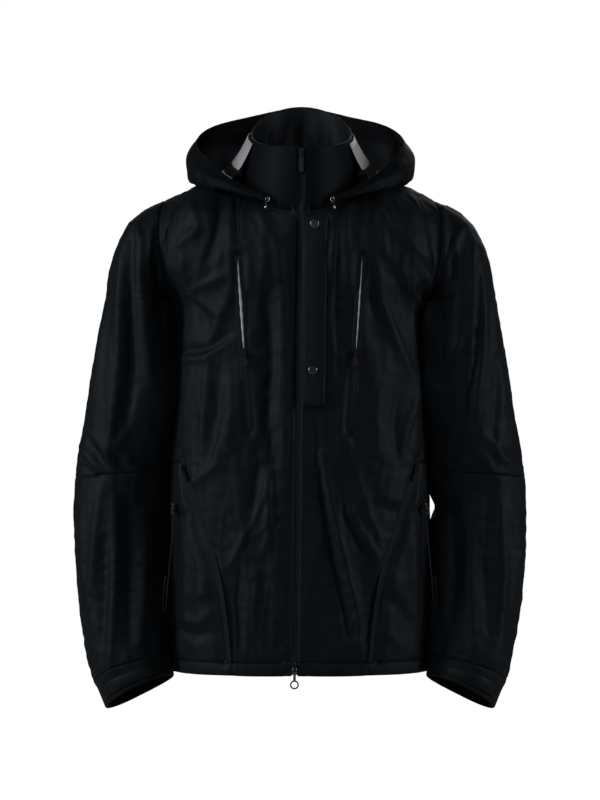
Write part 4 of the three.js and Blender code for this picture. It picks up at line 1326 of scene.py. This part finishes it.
def folded_over(rows, turns):
    """(v, turn in degrees) up a cloth's outer face, round its top edge, and down its inner face."""
    vs = [r / rows for r in range(rows + 1)]
    return [(v, 0.0) for v in vs] + [(1.0, a) for a in turns] + [(v, 180.0) for v in vs[::-1]]


def add_collar():
    """The stand-up collar: outer face, rounded top edge, and a padded inner face with folds at the back."""
    columns, rows = 110, 12
    edge = CLOSURE_SLIT / COLLAR_GIRTH
    points = []
    cross = folded_over(rows, (30, 70, 110, 150))
    for c in range(columns + 1):
        u = lerp(edge, 1 - edge, c / columns)
        away = 0.5 - abs(u - 0.5)
        for v, turn in cross:
            p = collar(u, v)
            inward = into_neck(p)
            thick = lerp(*COLLAR_PADDING, v)
            if turn == 0:
                q = p
            elif turn < 180:
                a = math.radians(turn)
                q = p + inward * (thick / 2) * (1 - math.cos(a)) + UP * 2.2 * math.sin(a)
            else:
                back = smooth(0.28, 0.42, away)
                fold = 2.6 * math.sin(u * 95) * math.sin(math.pi * v * 0.9 + 0.2) * back
                fold += 1.2 * noise.noise(Vector((u * 40, v * 3, 2.0)))
                q = p + inward * (thick + fold * (1 - v**4))
            wave = 1.3 * noise.noise(Vector((u * 16, v * 1.4, 5.0))) * math.sin(math.pi * min(v, 0.97))
            q = q + inward * wave * smooth(0.02, 0.1, away)
            points.append(q)
    faces, uvs = sheet(columns, len(cross), 5.0, 7.5)
    slots = [int(k >= rows + 3) for _ in range(columns) for k in range(len(cross) - 1)]  # lining inside
    obj = make_object("collar_stand", points, faces, [stand, lining], uvs, slots)
    if obj.data.polygons[0].normal.y > 0:
        obj.data.flip_normals()
    thicken(obj, COLLAR_CLOTH, lining=False)
    place(obj, "jacket", "shell_fabric", "collar", "collar_lining")


HOOD_MIDDLE = (0, 20, 800)


def hood_frame(u, v):
    """A point of the hood with its outward normal and its direction towards the rim."""
    e = 1e-3
    p = hood(u, v)
    du = hood(min(u + e, 1), v) - hood(max(u - e, 0), v)
    dv = hood(u, min(v + e, 1)) - hood(u, max(v - e, 0))
    normal = unit(np.cross(du, dv))
    if np.dot(normal, p - vec(*HOOD_MIDDLE)) < 0:
        normal = -normal
    return p, normal, unit(dv)


def drop_loose(obj):
    """Removes the points no face uses."""
    mesh = bmesh.new()
    mesh.from_mesh(obj.data)
    bmesh.ops.delete(mesh, geom=[v for v in mesh.verts if not v.link_faces], context="VERTS")
    mesh.to_mesh(obj.data)
    mesh.free()


# The hood's cloth is cut in four sectors.
SECTOR_EDGE = 0.36  # the hood's u where its side panel meets the centre one
HOOD_END = 0.004
CORD_CHANNEL = 0.9  # the hood's v along which its draw cord runs


def raise_with_hood(obj):
    """One sector of the hood's cloth, moved to the shared frame with its placement baked into its mesh."""
    settle(obj)
    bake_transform(obj)


def hood_outside(u, v):
    """A point of the hood's folded outer face, its normal, its way to the rim, and 0 at the ends to 1."""
    p, normal, up = hood_frame(u, v)
    ends = 1 - abs(2 * u - 1)
    away = smooth(0.0, 0.16, ends)
    fold = 5.0 * noise.noise(Vector((u * 22, v * 2.2, 1.0))) + 2.2 * noise.noise(Vector((u * 50, v * 6, 4.0)))
    channel = -1.1 * bump(v, CORD_CHANNEL, 0.018) * smooth(0.0, 0.05, ends)
    return p + normal * (fold * away * math.sin(math.pi * min(v, 0.96)) + channel), normal, up, away


def add_hood():
    """The hood: outer face from the neck seam to the rim, round the rim, and the lining down inside."""
    columns, rows = 150, 34
    points = []
    cross = folded_over(rows, (40, 90, 140))
    for c in range(columns + 1):
        u = lerp(HOOD_END, 1 - HOOD_END, c / columns)
        for v, turn in cross:
            p, normal, up, away = hood_outside(u, v)
            loose = away * smooth(0.3, 0.5, v)
            thick = 1.2 + 4.5 * math.sin(math.pi * v) * loose
            if 0 < turn < 180:
                a = math.radians(turn)
                p = p - normal * 0.6 * (1 - math.cos(a)) + up * 0.9 * math.sin(a)
            elif turn == 180:
                crinkle = 6.0 * noise.noise(Vector((u * 44, v * 7, 9.0))) * (1 - smooth(0.7, 0.95, v)) * loose
                p = p - normal * (thick + crinkle)
            points.append(p)
    cells = len(cross) - 1
    faces, uvs = sheet(columns, len(cross), 5.2, 8.5)
    slots = [int(k >= rows + 3) for _ in range(columns) for k in range(cells)]  # lining inside
    edge, middle = round(SECTOR_EDGE * columns), columns // 2
    for hand, side, sector, first, last in (
        ("right", -1, "side", 0, edge),
        ("right", -1, "back", edge, middle),
        ("left", 1, "back", middle, columns - edge),
        ("left", 1, "side", columns - edge, columns),
    ):
        part = slice(first * cells, last * cells)
        corners = slice(part.start * 4, part.stop * 4)
        name = "hood_cloth_" + ("" if sector == "side" else "back_") + hand
        obj = make_object(name, points, faces[part], [stand, lining], uvs[corners], slots[part])
        drop_loose(obj)
        mid = obj.data.polygons[((last - first) // 2) * cells + 8]
        if mid.normal.dot(mid.center - Vector(HOOD_MIDDLE) * MM) < 0:
            obj.data.flip_normals()
        thicken(obj, HOOD_CLOTH, lining=False)
        raise_with_hood(obj)
        panel = "hood_side_" + hand if sector == "side" else "hood_centre_panel"
        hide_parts("hood_base", "hood_brim", panel)


GUSSET_SPAN = (66, 132)  # degrees round the collar from its centre front


def gusset(side, a, b):
    """The satin inside the hood's neck: a runs from its front end backwards, b from the collar outwards."""
    degrees = lerp(*GUSSET_SPAN, a)
    u = degrees / 360 if side < 0 else 1 - degrees / 360
    top = collar(u, 0.97 - 0.3 * a**3)
    top = top - into_neck(top) * 2.0
    around = lerp(0.19, 0.37, a)
    floor = hood(around if side < 0 else 1 - around, 0.34) + vec(0, 0, 5)
    p = lerp(top, floor, b)
    p[2] -= 26 * math.sin(math.pi * b) * (1 - 0.4 * b)
    pucker = 2.6 * noise.noise(Vector((side * a * 22, b * 2, 3.0))) * math.sin(math.pi * b)
    return p + UP * pucker


def add_hood_neck():
    """The grey gussets inside the hood, one on each side of the neck, with their black tapes."""
    columns, rows = 56, 18
    for hand, side in SIDES:
        points = [gusset(side, c / columns, r / rows) for c in range(columns + 1) for r in range(rows + 1)]
        faces, uvs = sheet(columns, rows + 1, 3.4, 5)
        black = [6 <= r <= 8 or r >= 11 or c >= columns - 4 for c in range(columns) for r in range(rows)]
        slots = [int(b) for b in black]
        cloth = make_object("hood_gusset_" + hand, points, faces, [satin, webbing], uvs, slots)
        cloth.data.flip_normals()
        thicken(cloth, GUSSET_CLOTH, lining=False)
        raise_with_hood(cloth)


def ring_rings(centre, across, up, radius, tube):
    """Rings of a torus about centre in the plane of across and up."""
    count, sides = 20, 8
    out = np.cross(across, up)
    rings = []
    for k in range(count + 1):
        a = 2 * math.pi * k / count
        spoke = across * math.cos(a) + up * math.sin(a)
        rings.append([
            centre + spoke * (radius + tube * math.cos(b)) + out * tube * math.sin(b)
            for b in (2 * math.pi * j / sides for j in range(sides))
        ])
    return rings


EYELET = (48, -113, 701)


def add_cord_ends():
    """The hood cord's ends at the front: an eyelet, a short bent piece of cord and a metal tip."""
    for hand, side in SIDES:
        at = vec(side * EYELET[0], *EYELET[1:])
        across, up = unit(vec(1, side * -0.45, 0)), UP
        eyelet = sweep("hood_eyelet_" + hand, ring_rings(at, across, up, 2.9, 0.8), bright_metal, caps=False)
        path = (0, 2, 0), (1, -3, -1), (2, -4, -5), (2.6, -3.5, -9)
        hang = resample([at + vec(side * x, y, z) for x, y, z in path], 1.2)
        cord = sweep("cord", cord_rings(hang, 1.1, 8, 1.4), braid)
        tip = resample([hang[-1], hang[-1] + vec(side * 0.5, 0, -4.5)], 1.5)
        end = sweep("tip", cord_rings(tip, 1.5, 10), bright_metal)
        place(joined("hood_cord_end_" + hand, [eyelet, cord, end]), "jacket", "cord")


# ---------------------------------------------------------------- zips


FRONT_TAPE, POCKET_TAPE = 13, 7.4  # half widths of the zips' tapes
TAPE_ENDS = {"chest": 3.5, "foot": 5, "top": 4}  # how far the tapes run on past the ends of the zips


def tape_rings(frames, hand, outer):
    """Rings of one tape, from the zip's middle to outer, with slightly rounded front edges."""
    inner, low, high = 0.04, -1.4, -0.5
    section = [(inner, low), (inner, high - 0.1), (inner + 0.5, high)]
    section += [(outer - 0.4, high), (outer, high - 0.15), (outer, low)]
    return [[p + side * hand * a + out * b for a, b in section] for p, side, out in frames]


def coil(frames, hand):
    """One side of a zip coil: a row of small rounded teeth along close frames."""
    points, faces = [], []
    section = ((0.35, -3.1), (0.35, -1.9), (1.0, -1.6), (2.7, -1.6), (2.9, -2.4), (2.7, -3.2))
    for p, side, out in frames:
        along = np.cross(out, side)
        base = len(points)
        for shift in (-0.42, 0.42):
            points.extend(p + side * hand * a + out * b + along * shift for a, b in section)
        n = len(section)
        faces.append([base + k for k in range(n)])
        faces.append([base + n + k for k in range(n)][::-1])
        faces.extend([base + k, base + n + k, base + n + (k + 1) % n, base + (k + 1) % n] for k in range(n))
    obj = make_object("coil", points, faces, [plastic], shade=False)
    outward(obj)
    return obj


def zip_side(name, line, out_of, hand, outer):
    """One tape of a zip with its row of teeth behind it."""
    frames = frames_along(resample(line, 6), out_of)
    close = frames_along(resample(line, 1.5), out_of)[2:-2]
    return joined(name, [sweep(name, tape_rings(frames, hand, outer), tape), coil(close, hand)])


SLIVER = {"right": 1.7, "left": 0.8}  # half width of the light lining in the open part of the chest zip


def chest_sliver(hand, side):
    """The light lining that shows between the teeth above the chest slider."""
    low, high = chest_line(side)
    wide = SLIVER[hand]
    rings = []
    count = 26
    for k in range(count + 1):
        share = lerp(0.44, 0.985, k / count)
        p = lerp(low, high, share)
        half = wide * max(math.sin(math.pi * k / count), 0) ** 0.7 * (1 + 0.25 * math.sin(k * 1.9)) + 0.15
        section = (-half, -0.35), (0, -0.75), (half, -0.35), (0, 0.1)
        rings.append([p + vec(x, y, 0) for x, y in section])
    return sweep("chest_lining_" + hand, rings, satin)


def add_zips():
    """Tapes with their teeth for all five zips, and the light lining in the open part of the chest zips."""
    for hand, side in SIDES:
        main = zip_side("front_tape_" + hand, [CLOSURE_BOTTOM, CLOSURE_TOP], forwards, side, FRONT_TAPE)
        place(main, "jacket", "zip_tape", "front_zip_tape_" + hand)
        low, high = chest_line(side)
        more = TAPE_ENDS["chest"] * unit(high - low)
        parts = [zip_side("tape", [low - more, high + more], forwards, turn, POCKET_TAPE) for turn in (1, -1)]
        place(joined("chest_tape_" + hand, parts), "jacket", "zip_tape", "chest_zip_" + hand)
        place(chest_sliver(hand, side), "jacket", "pocket_lining")
        top, bow, out = pocket_line(side)
        foot = bow[0] - TAPE_ENDS["foot"] * unit(bow[1] - bow[0])
        line = [foot] + bow + [top + TAPE_ENDS["top"] * unit(top - bow[-1])]
        parts = [zip_side("tape", line, lambda _, out=out: out, turn, POCKET_TAPE) for turn in (1, -1)]
        place(joined("pocket_tape_" + hand, parts), "jacket", "zip_tape", "pocket_zip_" + hand)


# ---------------------------------------------------------------- seams, stitches, tabs and cords


def lay(points):
    """The points moved onto the draped cloth, each with the cloth's normal there."""
    laid = []
    for p in points:
        spot_on, normal, _, _ = drape_tree.find_nearest(Vector(p) * MM)
        laid.append((np.array(spot_on) / MM, np.array(normal)))
    return laid


def from_front(xz):
    """Points (x, z) seen from the front, put on the cloth."""
    laid = []
    for x, z in xz:
        hit, normal, _, _ = drape_tree.ray_cast(Vector((x * MM, -0.5, z * MM)), Vector((0, 1, 0)))
        if hit is not None and hit.y < 0.02:
            laid.append((np.array(hit) / MM, np.array(normal)))
    return laid


def stitch_row(laid, length=2.7, gap=1.3, radius=0.34):
    """Sewn stitches along points that carry normals: short rounded threads that dip at both ends."""
    pts = np.array([p for p, _ in laid])
    normals = np.array([n for _, n in laid])
    run = running_length(pts)

    def at(d, values):
        return np.array([np.interp(d, run, values[:, k]) for k in range(3)])

    points, faces = [], []
    # Share of the length, share of the radius, height.
    shape = ((0.0, 0.45, -0.35), (0.22, 1.0, 0.0), (0.78, 1.0, 0.0), (1.0, 0.45, -0.35))
    sides = 5
    d = gap
    while d + length < run[-1]:
        start, end = at(d, pts), at(d + length, pts)
        n0 = unit(at(d, normals))
        along = unit(end - start)
        side = unit(np.cross(n0, along))
        base = len(points)
        for t, wide, down in shape:
            centre = lerp(start, end, t) + n0 * (0.15 + down)
            for k in range(sides):
                a = 2 * math.pi * k / sides
                points.append(centre + radius * wide * (side * math.cos(a) + n0 * math.sin(a)))
        for r in range(3):
            for k in range(sides):
                low, high = base + r * sides, base + (r + 1) * sides
                m = (k + 1) % sides
                faces.append([low + k, low + m, high + m, high + k])
        faces.append([base + k for k in range(sides)][::-1])
        faces.append([base + 3 * sides + k for k in range(sides)])
        d += length + gap
    return points, faces


def stitched(name, rows, **size):
    """One object for several stitch rows."""
    points, faces = [], []
    for laid in rows:
        if len(laid) < 3:
            continue
        more, quads = stitch_row(laid, **size)
        base = len(points)
        points.extend(more)
        faces.extend([base + k for k in f] for f in quads)
    return make_object(name, points, faces, [thread])


def offset_line(points, out_of, across):
    """A line beside another on the cloth."""
    return [p + side * across for p, side, _ in frames_along(points, out_of)]


def ribbon(name, laid, width, height, material):
    """A low rounded strip along points on the cloth, such as a lapped seam."""
    rings = []
    brim = 0.55 * height
    section = ((-1, -0.6), (-0.8, brim), (-0.35, height), (0.35, height), (0.8, brim), (1, -0.6))
    for k, (p, normal) in enumerate(laid):
        along = unit(laid[min(k + 1, len(laid) - 1)][0] - laid[max(k - 1, 0)][0])
        side = unit(np.cross(normal, along))
        ends = 0.35 if k in (0, len(laid) - 1) else 1.0
        rings.append([p + side * a * width / 2 * ends + normal * b for a, b in section])
    return sweep(name, rings, material)


ZIP_STITCH, CHEST_STITCH, POCKET_STITCH, HOLE_STITCH = 7.4, 5.2, 7.6, 4.5  # distances from their zip or seam
YOKE_Z, YOKE_RISE = 632, 10
# Sewn darts and tucks at the neck and sides: x and z of both ends.
DARTS = ((-90, 722, -91, 622), (97, 722, 95, 622), (-188, 248, -166, 241), (167, 243, 188, 248))


def shares(first, last, count):
    return [lerp(first, last, k / count) for k in range(count + 1)]


def add_body_stitches():
    """Stitch rows on the body, and its low lapped seams: back yoke, darts and the tape behind the hem."""
    rows = []
    for _, side in SIDES:
        for face in ("front", "back"):
            rows.append(lay([torso(face, side, s, HEM_HEIGHT + 2.6) for s in shares(0.06, 1, 90)]))
        closure_line = resample([CLOSURE_BOTTOM + 6 * UP, closure(PLACKET_HIGH)], 8)
        rows.append(lay(offset_line(closure_line, forwards, side * ZIP_STITCH)))
        top, bow, out = pocket_line(side)
        for turn in (-1, 1):
            rows.append(lay(offset_line(resample(chest_line(side), 8), forwards, turn * CHEST_STITCH)))
        for turn in (-1, 1):
            line = resample(bow + [top], 8)
            rows.append(lay(offset_line(line, lambda _, out=out: out, turn * POCKET_STITCH)))
        hole = [armhole("front", side, share) for share in shares(0.12, 1, 40)]
        hole += [armhole("back", side, share) for share in shares(1, 0.12, 40)[1:]]
        rows.append(lay([p - side * vec(HOLE_STITCH, 0, 0) for p in hole]))
        rows.append(lay([top_edge("front", side, s) - vec(0, 4, 0) for s in shares(NECK_SHARE, 0.97, 30)]))
    right, left = ([torso("back", side, s, YOKE_Z + YOKE_RISE * s) for s in shares(0, 1, 40)]
                   for side in (-1, 1))
    yoke = lay(right[::-1] + left[1:])
    place(ribbon("back_yoke_seam", yoke, 3.2, 0.5, shell), "jacket", "shell_fabric")
    rows.append(lay([p - 4 * UP for p, _ in yoke]))
    place(stitched("body_stitches", rows), "jacket", "shell_fabric")
    darts = []
    for x, z, far_x, far_z in DARTS:
        line = from_front(list(zip(shares(x, far_x, 14), shares(z, far_z, 14))))
        darts.append(ribbon("dart", line, 2.6, 0.7, shell))
    place(joined("front_darts", darts), "jacket", "shell_fabric")
    round_hem = [torso("front", -1, s, HEM_HEIGHT) for s in shares(0.04, 1, 60)]
    round_hem += [torso("back", -1, s, HEM_HEIGHT) for s in shares(1, 0, 60)[1:]]
    round_hem += [vec(-p[0], p[1], p[2]) for p in round_hem[-2::-1]]
    tape_line = [(p - normal * 2.4, normal) for p, normal in lay(round_hem)]
    place(ribbon("hem_seam_tape", tape_line, 10, 0.6, lining), "jacket", "lining_fabric")


def sleeve_ring_line(side, station, count=72):
    """A line round the sleeve."""
    return [sleeve_point(side, station, 2 * math.pi * k / count) for k in range(count + 1)]


def add_sleeve_stitches():
    """Stitches on both sides of the elbow and cuff seams and along the cuff's edge."""
    for hand, side in SIDES:

        def rows_at(*stations, side=side):
            return [lay(sleeve_ring_line(side, station)) for station in stations]

        above = stitched("upper_sleeve_stitches_" + hand, rows_at(ELBOW - 0.06))
        below = stitched("forearm_stitches_" + hand, rows_at(ELBOW + 0.06, WRIST - 0.04))
        cuff = stitched("cuff_stitches_" + hand, rows_at(WRIST + 0.04, LAST - 0.07))
        bend_sleeve(above)
        bend_sleeve(below)
        place(cuff, "forearm_" + hand, "shell_fabric")


# The placket's cross-section: distance from the zip's middle, and height over its line.
PLACKET_SECTION = (
    (7.8, 4.8), (8.1, 5.7), (9.0, 6.2), (34, 6.3), (38.2, 5.6), (39.8, 4.2),
    (40.2, 2.4), (38.8, 2.2), (37.4, 4.0), (33, 4.75), (9, 4.75),
)


def add_placket():
    """The snap flap beside the zip: a folded strip with sewn edges."""
    rings = []
    frames = frames_along(resample([closure(PLACKET_LOW), closure(PLACKET_HIGH)], 5), forwards)

    def wave(k, across):
        """How far the strip lifts there."""
        return 0.45 * noise.noise(Vector((k * 0.16, 3.0, 0.0))) * (across - 8) / 20

    for k, (p, side, out) in enumerate(frames):
        end = 0.375 if k in (0, len(frames) - 1) else 0.0
        section = [(a, b + wave(k, a) - (end if b > 5 else 0)) for a, b in PLACKET_SECTION]
        rings.append([p + side * a + out * b for a, b in section])
    flap = sweep("placket_cloth", rings, shell)
    rows = []
    for across, up in ((35.6, 6.2), (10.6, 6.28)):
        rows.append([(p + side * across + out * (up + wave(k, across)), out) for k, (p, side, out) in
                     enumerate(frames)])
    for index in (1, -2):
        p, side, out = frames[index]
        rows.append([(p + side * a + out * 6.25, out) for a in np.linspace(10, 36, 12)])
    cloth = joined("placket_cloth", [flap, stitched("rows", rows)])
    place(cloth, "placket_flap", "shell_fabric", "placket_flap")


# Stations of the cuff tab's lower and upper edge, its ends in degrees round the sleeve, and its cross-section
# (0 to 1 up its width, and height over the cuff).
TAB_EDGES, TAB_ENDS = (10.86, 10.52), (-28, -122)
TAB_SECTION = ((0, 0.2), (0, 1.5), (0.1, 2.1), (0.5, 2.35), (0.9, 2.1), (1, 1.5), (1, 0.2), (0.5, 0.2))


def add_cuff_tabs():
    """Moulded cuff tabs with rounded corners and a sewn box at the fixed end."""
    for hand, side in SIDES:

        def at(share, up, lift, side=side):
            station = lerp(*TAB_EDGES, up)
            angle = math.radians(lerp(*TAB_ENDS, share))
            p = sleeve_point(side, station, angle, 1.2)
            centre = (sleeve_point(side, station, 0) + sleeve_point(side, station, math.pi)) / 2
            normal = unit(p - centre)
            return p + normal * lift, normal

        columns, rings = 26, []
        for c in range(columns + 1):
            share = c / columns
            near_end = min(share, 1 - share) * columns
            pull = 0.0 if near_end > 2 else 0.22 * (1 - math.sqrt(max(0, 1 - (1 - near_end / 2) ** 2)))
            rings.append([at(share, lerp(pull, 1 - pull, up), lift)[0] for up, lift in TAB_SECTION])
        tab = sweep("cuff_tab_strip_" + hand, rings, laminate)
        rows = []
        for up in (0.16, 0.84):
            rows.append([at(t, up, 2.15) for t in np.linspace(0.03, 0.3, 10)])
        for share in (0.03, 0.3):
            rows.append([at(share, u, 2.25) for u in np.linspace(0.16, 0.84, 8)])
        rows.append([at(lerp(0.03, 0.3, t), lerp(0.16, 0.84, t), 2.3) for t in np.linspace(0, 1, 9)])
        sewn = stitched("rows", rows, length=2.0, gap=0.9, radius=0.3)
        strip = joined("cuff_tab_strip_" + hand, [tab, sewn])
        place(strip, "cuff_tab_" + hand, "tab_laminate", "cuff_tab_" + hand)


def add_bartacks():
    """Small sewn tabs on the chest and bartacks at the ends of the zips."""
    pieces = []
    for side, x, z in ((-1, -162, 566), (1, 165, 570)):
        for dz in (-3.4, 0, 3.4):
            line = from_front([(x + side * t, z + dz + 0.048 * t * t) for t in np.linspace(-7, 7, 9)])
            pieces.append(ribbon("tab", line, 3.0, 1.3, thread))
    for side in (-1, 1):
        low, high = chest_line(side)
        top, bow, _ = pocket_line(side)
        for p, half in ((low, 5), (high, 5), (top, 7), (bow[0], 7)):
            line = from_front([(p[0] + t, p[2] + 4) for t in np.linspace(-half, half, 7)])
            pieces.append(ribbon("tack", line, 1.8, 0.8, thread))
    place(joined("bartacks", pieces), "jacket", "shell_fabric")


def softened(node, name, material, height=0.0, levels=2):
    """A soft piece of the jacket grown from a CAD node: rounded by subdivision and a little uneven."""
    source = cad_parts[node]
    obj = add_object(name, source.data.copy())
    obj.data.materials.clear()
    obj.data.materials.append(material)
    weld = obj.modifiers.new("weld", "WELD")
    weld.merge_threshold = 1e-5
    mod = obj.modifiers.new("round", "SUBSURF")
    mod.levels = mod.render_levels = levels
    mesh = evaluated(obj)
    if height:
        co, normal = arrays(mesh)
        move = np.array([noise.noise(Vector(p) * 42) for p in co]) * height * MM
        put(mesh, co + normal * move[:, None])
    mesh.polygons.foreach_set("use_smooth", np.full(len(mesh.polygons), True))
    mesh.update()
    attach(obj, "jacket")
    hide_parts(node)


# The left waist cord's loop, from its lock down and back up.
WAIST_CORD = [
    (188, -66, 234), (190, -71, 200), (195, -69, 150), (199, -62, 104),
    (201.5, -58, 90), (204, -57, 96), (203, -61, 120), (200.5, -63, 142),
]


def add_cords_and_bags():
    """Pocket bags, waist cords, the hem's cord and the hood's cord in its channel."""
    for hand, side in SIDES:
        softened("chest_pocket_bag_" + hand, "chest_bag_cloth_" + hand, satin, 0.5)
        softened("hand_pocket_bag_" + hand, "hand_bag_cloth_" + hand, lining, 0.8)
        smooth_line = spline([(side * x, y, z) for x, y, z in WAIST_CORD])
        line = resample([smooth_line(t) for t in np.linspace(0, 1, 80)], 1.1)
        cord = sweep("waist_cord_braid_" + hand, cord_rings(line, 1.25, 8, 1.5), braid)
        place(cord, "jacket", "cord", "waist_cord_" + hand)
    softened("hem_draw_cord", "hem_cord_braid", braid, levels=1)
    for hand, side in SIDES:
        for sector, first, last in (("side", 0.01, SECTOR_EDGE), ("back", SECTOR_EDGE, 0.5)):
            line = []
            for k in range(40):
                u = lerp(first, last, k / 39)
                p, normal, _, _ = hood_outside(u if side < 0 else 1 - u, CORD_CHANNEL)
                line.append(p - normal * 1.5)
            name = "hood_cord_braid_" + ("" if sector == "side" else "back_") + hand
            cord = sweep(name, cord_rings(resample(line, 3), 0.7, 8, 1.5), braid)
            raise_with_hood(cord)
            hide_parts("hood_draw_cord")


def add_metal_finish():
    """Materials and soft edges for the hard parts, which are shown as they are in the CAD."""
    finishes = {
        "front_zip_top_slider": black_metal,
        "front_zip_bottom_slider": black_metal,
        "front_zip_top_pull": pull_metal,
        "front_zip_bottom_pull": bright_metal,
        "hanger_loop": webbing,
    }
    for hand, _ in SIDES:
        for kind in ("chest", "pocket"):
            finishes[f"{kind}_{hand}_slider"] = black_metal
            finishes[f"{kind}_{hand}_pull"] = pull_metal
        for part in ("barrel", "button"):
            finishes[f"waist_lock_{hand}_{part}"] = plastic
    for level in ("upper", "lower"):
        finishes["snap_stud_" + level] = gunmetal
        finishes["snap_cap_" + level] = gunmetal
    for name, material in finishes.items():
        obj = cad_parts[name]
        obj.data.materials.clear()
        obj.data.materials.append(material)
        mod = obj.modifiers.new("edges", "BEVEL")
        mod.width = 0.25 * MM
        mod.segments = 2
        mod.limit_method = "ANGLE"


# ---------------------------------------------------------------- studio

# Metres, from the middle of the hem.
FLOOR_Z = -0.75
LAMP_AIM_Z = 0.42
CAMERA_DISTANCE, CAMERA_Z, SENSOR_HEIGHT = 5.1, 0.405, 24
FRAMED_HEIGHT, FRAMED_DEPTH = 1.2, 0.03  # the picture's height spans so much, so far in front of the hem

def add_studio():
    """Pale floor, white surroundings that light the jacket faintly, soft boxes, and the photo's camera."""
    floor_mesh = bpy.data.meshes.new("floor")
    floor_mesh.from_pydata([(-40, -40, 0), (40, -40, 0), (40, 40, 0), (-40, 40, 0)], [], [(0, 1, 2, 3)])
    floor = add_object("floor", floor_mesh)
    floor.location = spot(0, 0, FLOOR_Z)
    n = Nodes("floor_paint")
    n.shader.inputs["Base Color"].default_value = (0.6, 0.6, 0.6, 1)
    n.shader.inputs["Roughness"].default_value = 0.9
    n.shader.inputs["Emission Color"].default_value = (1, 1, 1, 1)
    n.link(n.add("ShaderNodeLightPath").outputs["Is Camera Ray"], n.shader.inputs["Emission Strength"])
    floor.data.materials.append(n.material)

    world = bpy.data.worlds.new("studio")
    bpy.context.scene.world = world
    world.use_nodes = True
    tree = world.node_tree
    seen = tree.nodes.new("ShaderNodeLightPath")
    strength = tree.nodes.new("ShaderNodeMapRange")
    strength.inputs["To Min"].default_value = 0.03
    strength.inputs["To Max"].default_value = 1.0
    tree.links.new(seen.outputs["Is Camera Ray"], strength.inputs["Value"])
    tree.links.new(strength.outputs[0], tree.nodes["Background"].inputs["Strength"])
    tree.nodes["Background"].inputs["Color"].default_value = (1, 1, 1, 1)
    bpy.context.scene.view_settings.view_transform = "Standard"

    def lamp(name, place_at, power, width, height):
        data = bpy.data.lights.new(name, "AREA")
        data.energy = power
        data.shape = "RECTANGLE"
        data.size, data.size_y = width, height
        obj = add_object(name, data)
        obj.location = spot(*place_at)
        obj.rotation_euler = (spot(0, 0, LAMP_AIM_Z) - obj.location).to_track_quat("-Z", "Y").to_euler()

    lamp("left_box", (-2.6, -0.9, 1.3), 30, 0.5, 1.6)
    lamp("right_box", (2.6, -0.7, 1.1), 20, 0.5, 1.6)
    lamp("front_box", (-1.4, -3.2, 2.4), 22, 1.2, 0.8)
    lamp("back_box", (0.4, 2.6, 1.8), 14, 2.0, 1.6)

    data = bpy.data.cameras.new("camera")
    camera = add_object("camera", data)
    camera.location = spot(0.0, -CAMERA_DISTANCE, CAMERA_Z)
    camera.rotation_euler = (math.pi / 2, 0, 0)
    data.sensor_fit = "VERTICAL"
    data.sensor_height = SENSOR_HEIGHT
    data.lens = SENSOR_HEIGHT * (CAMERA_DISTANCE - FRAMED_DEPTH) / FRAMED_HEIGHT
    data.clip_end = 100
    bpy.context.scene.camera = camera


drape_tree = add_garment()
add_collar()
add_hood()
add_hood_neck()
add_cord_ends()
add_zips()
add_body_stitches()
add_sleeve_stitches()
add_placket()
add_cuff_tabs()
add_bartacks()
add_cords_and_bags()
add_metal_finish()
add_studio()
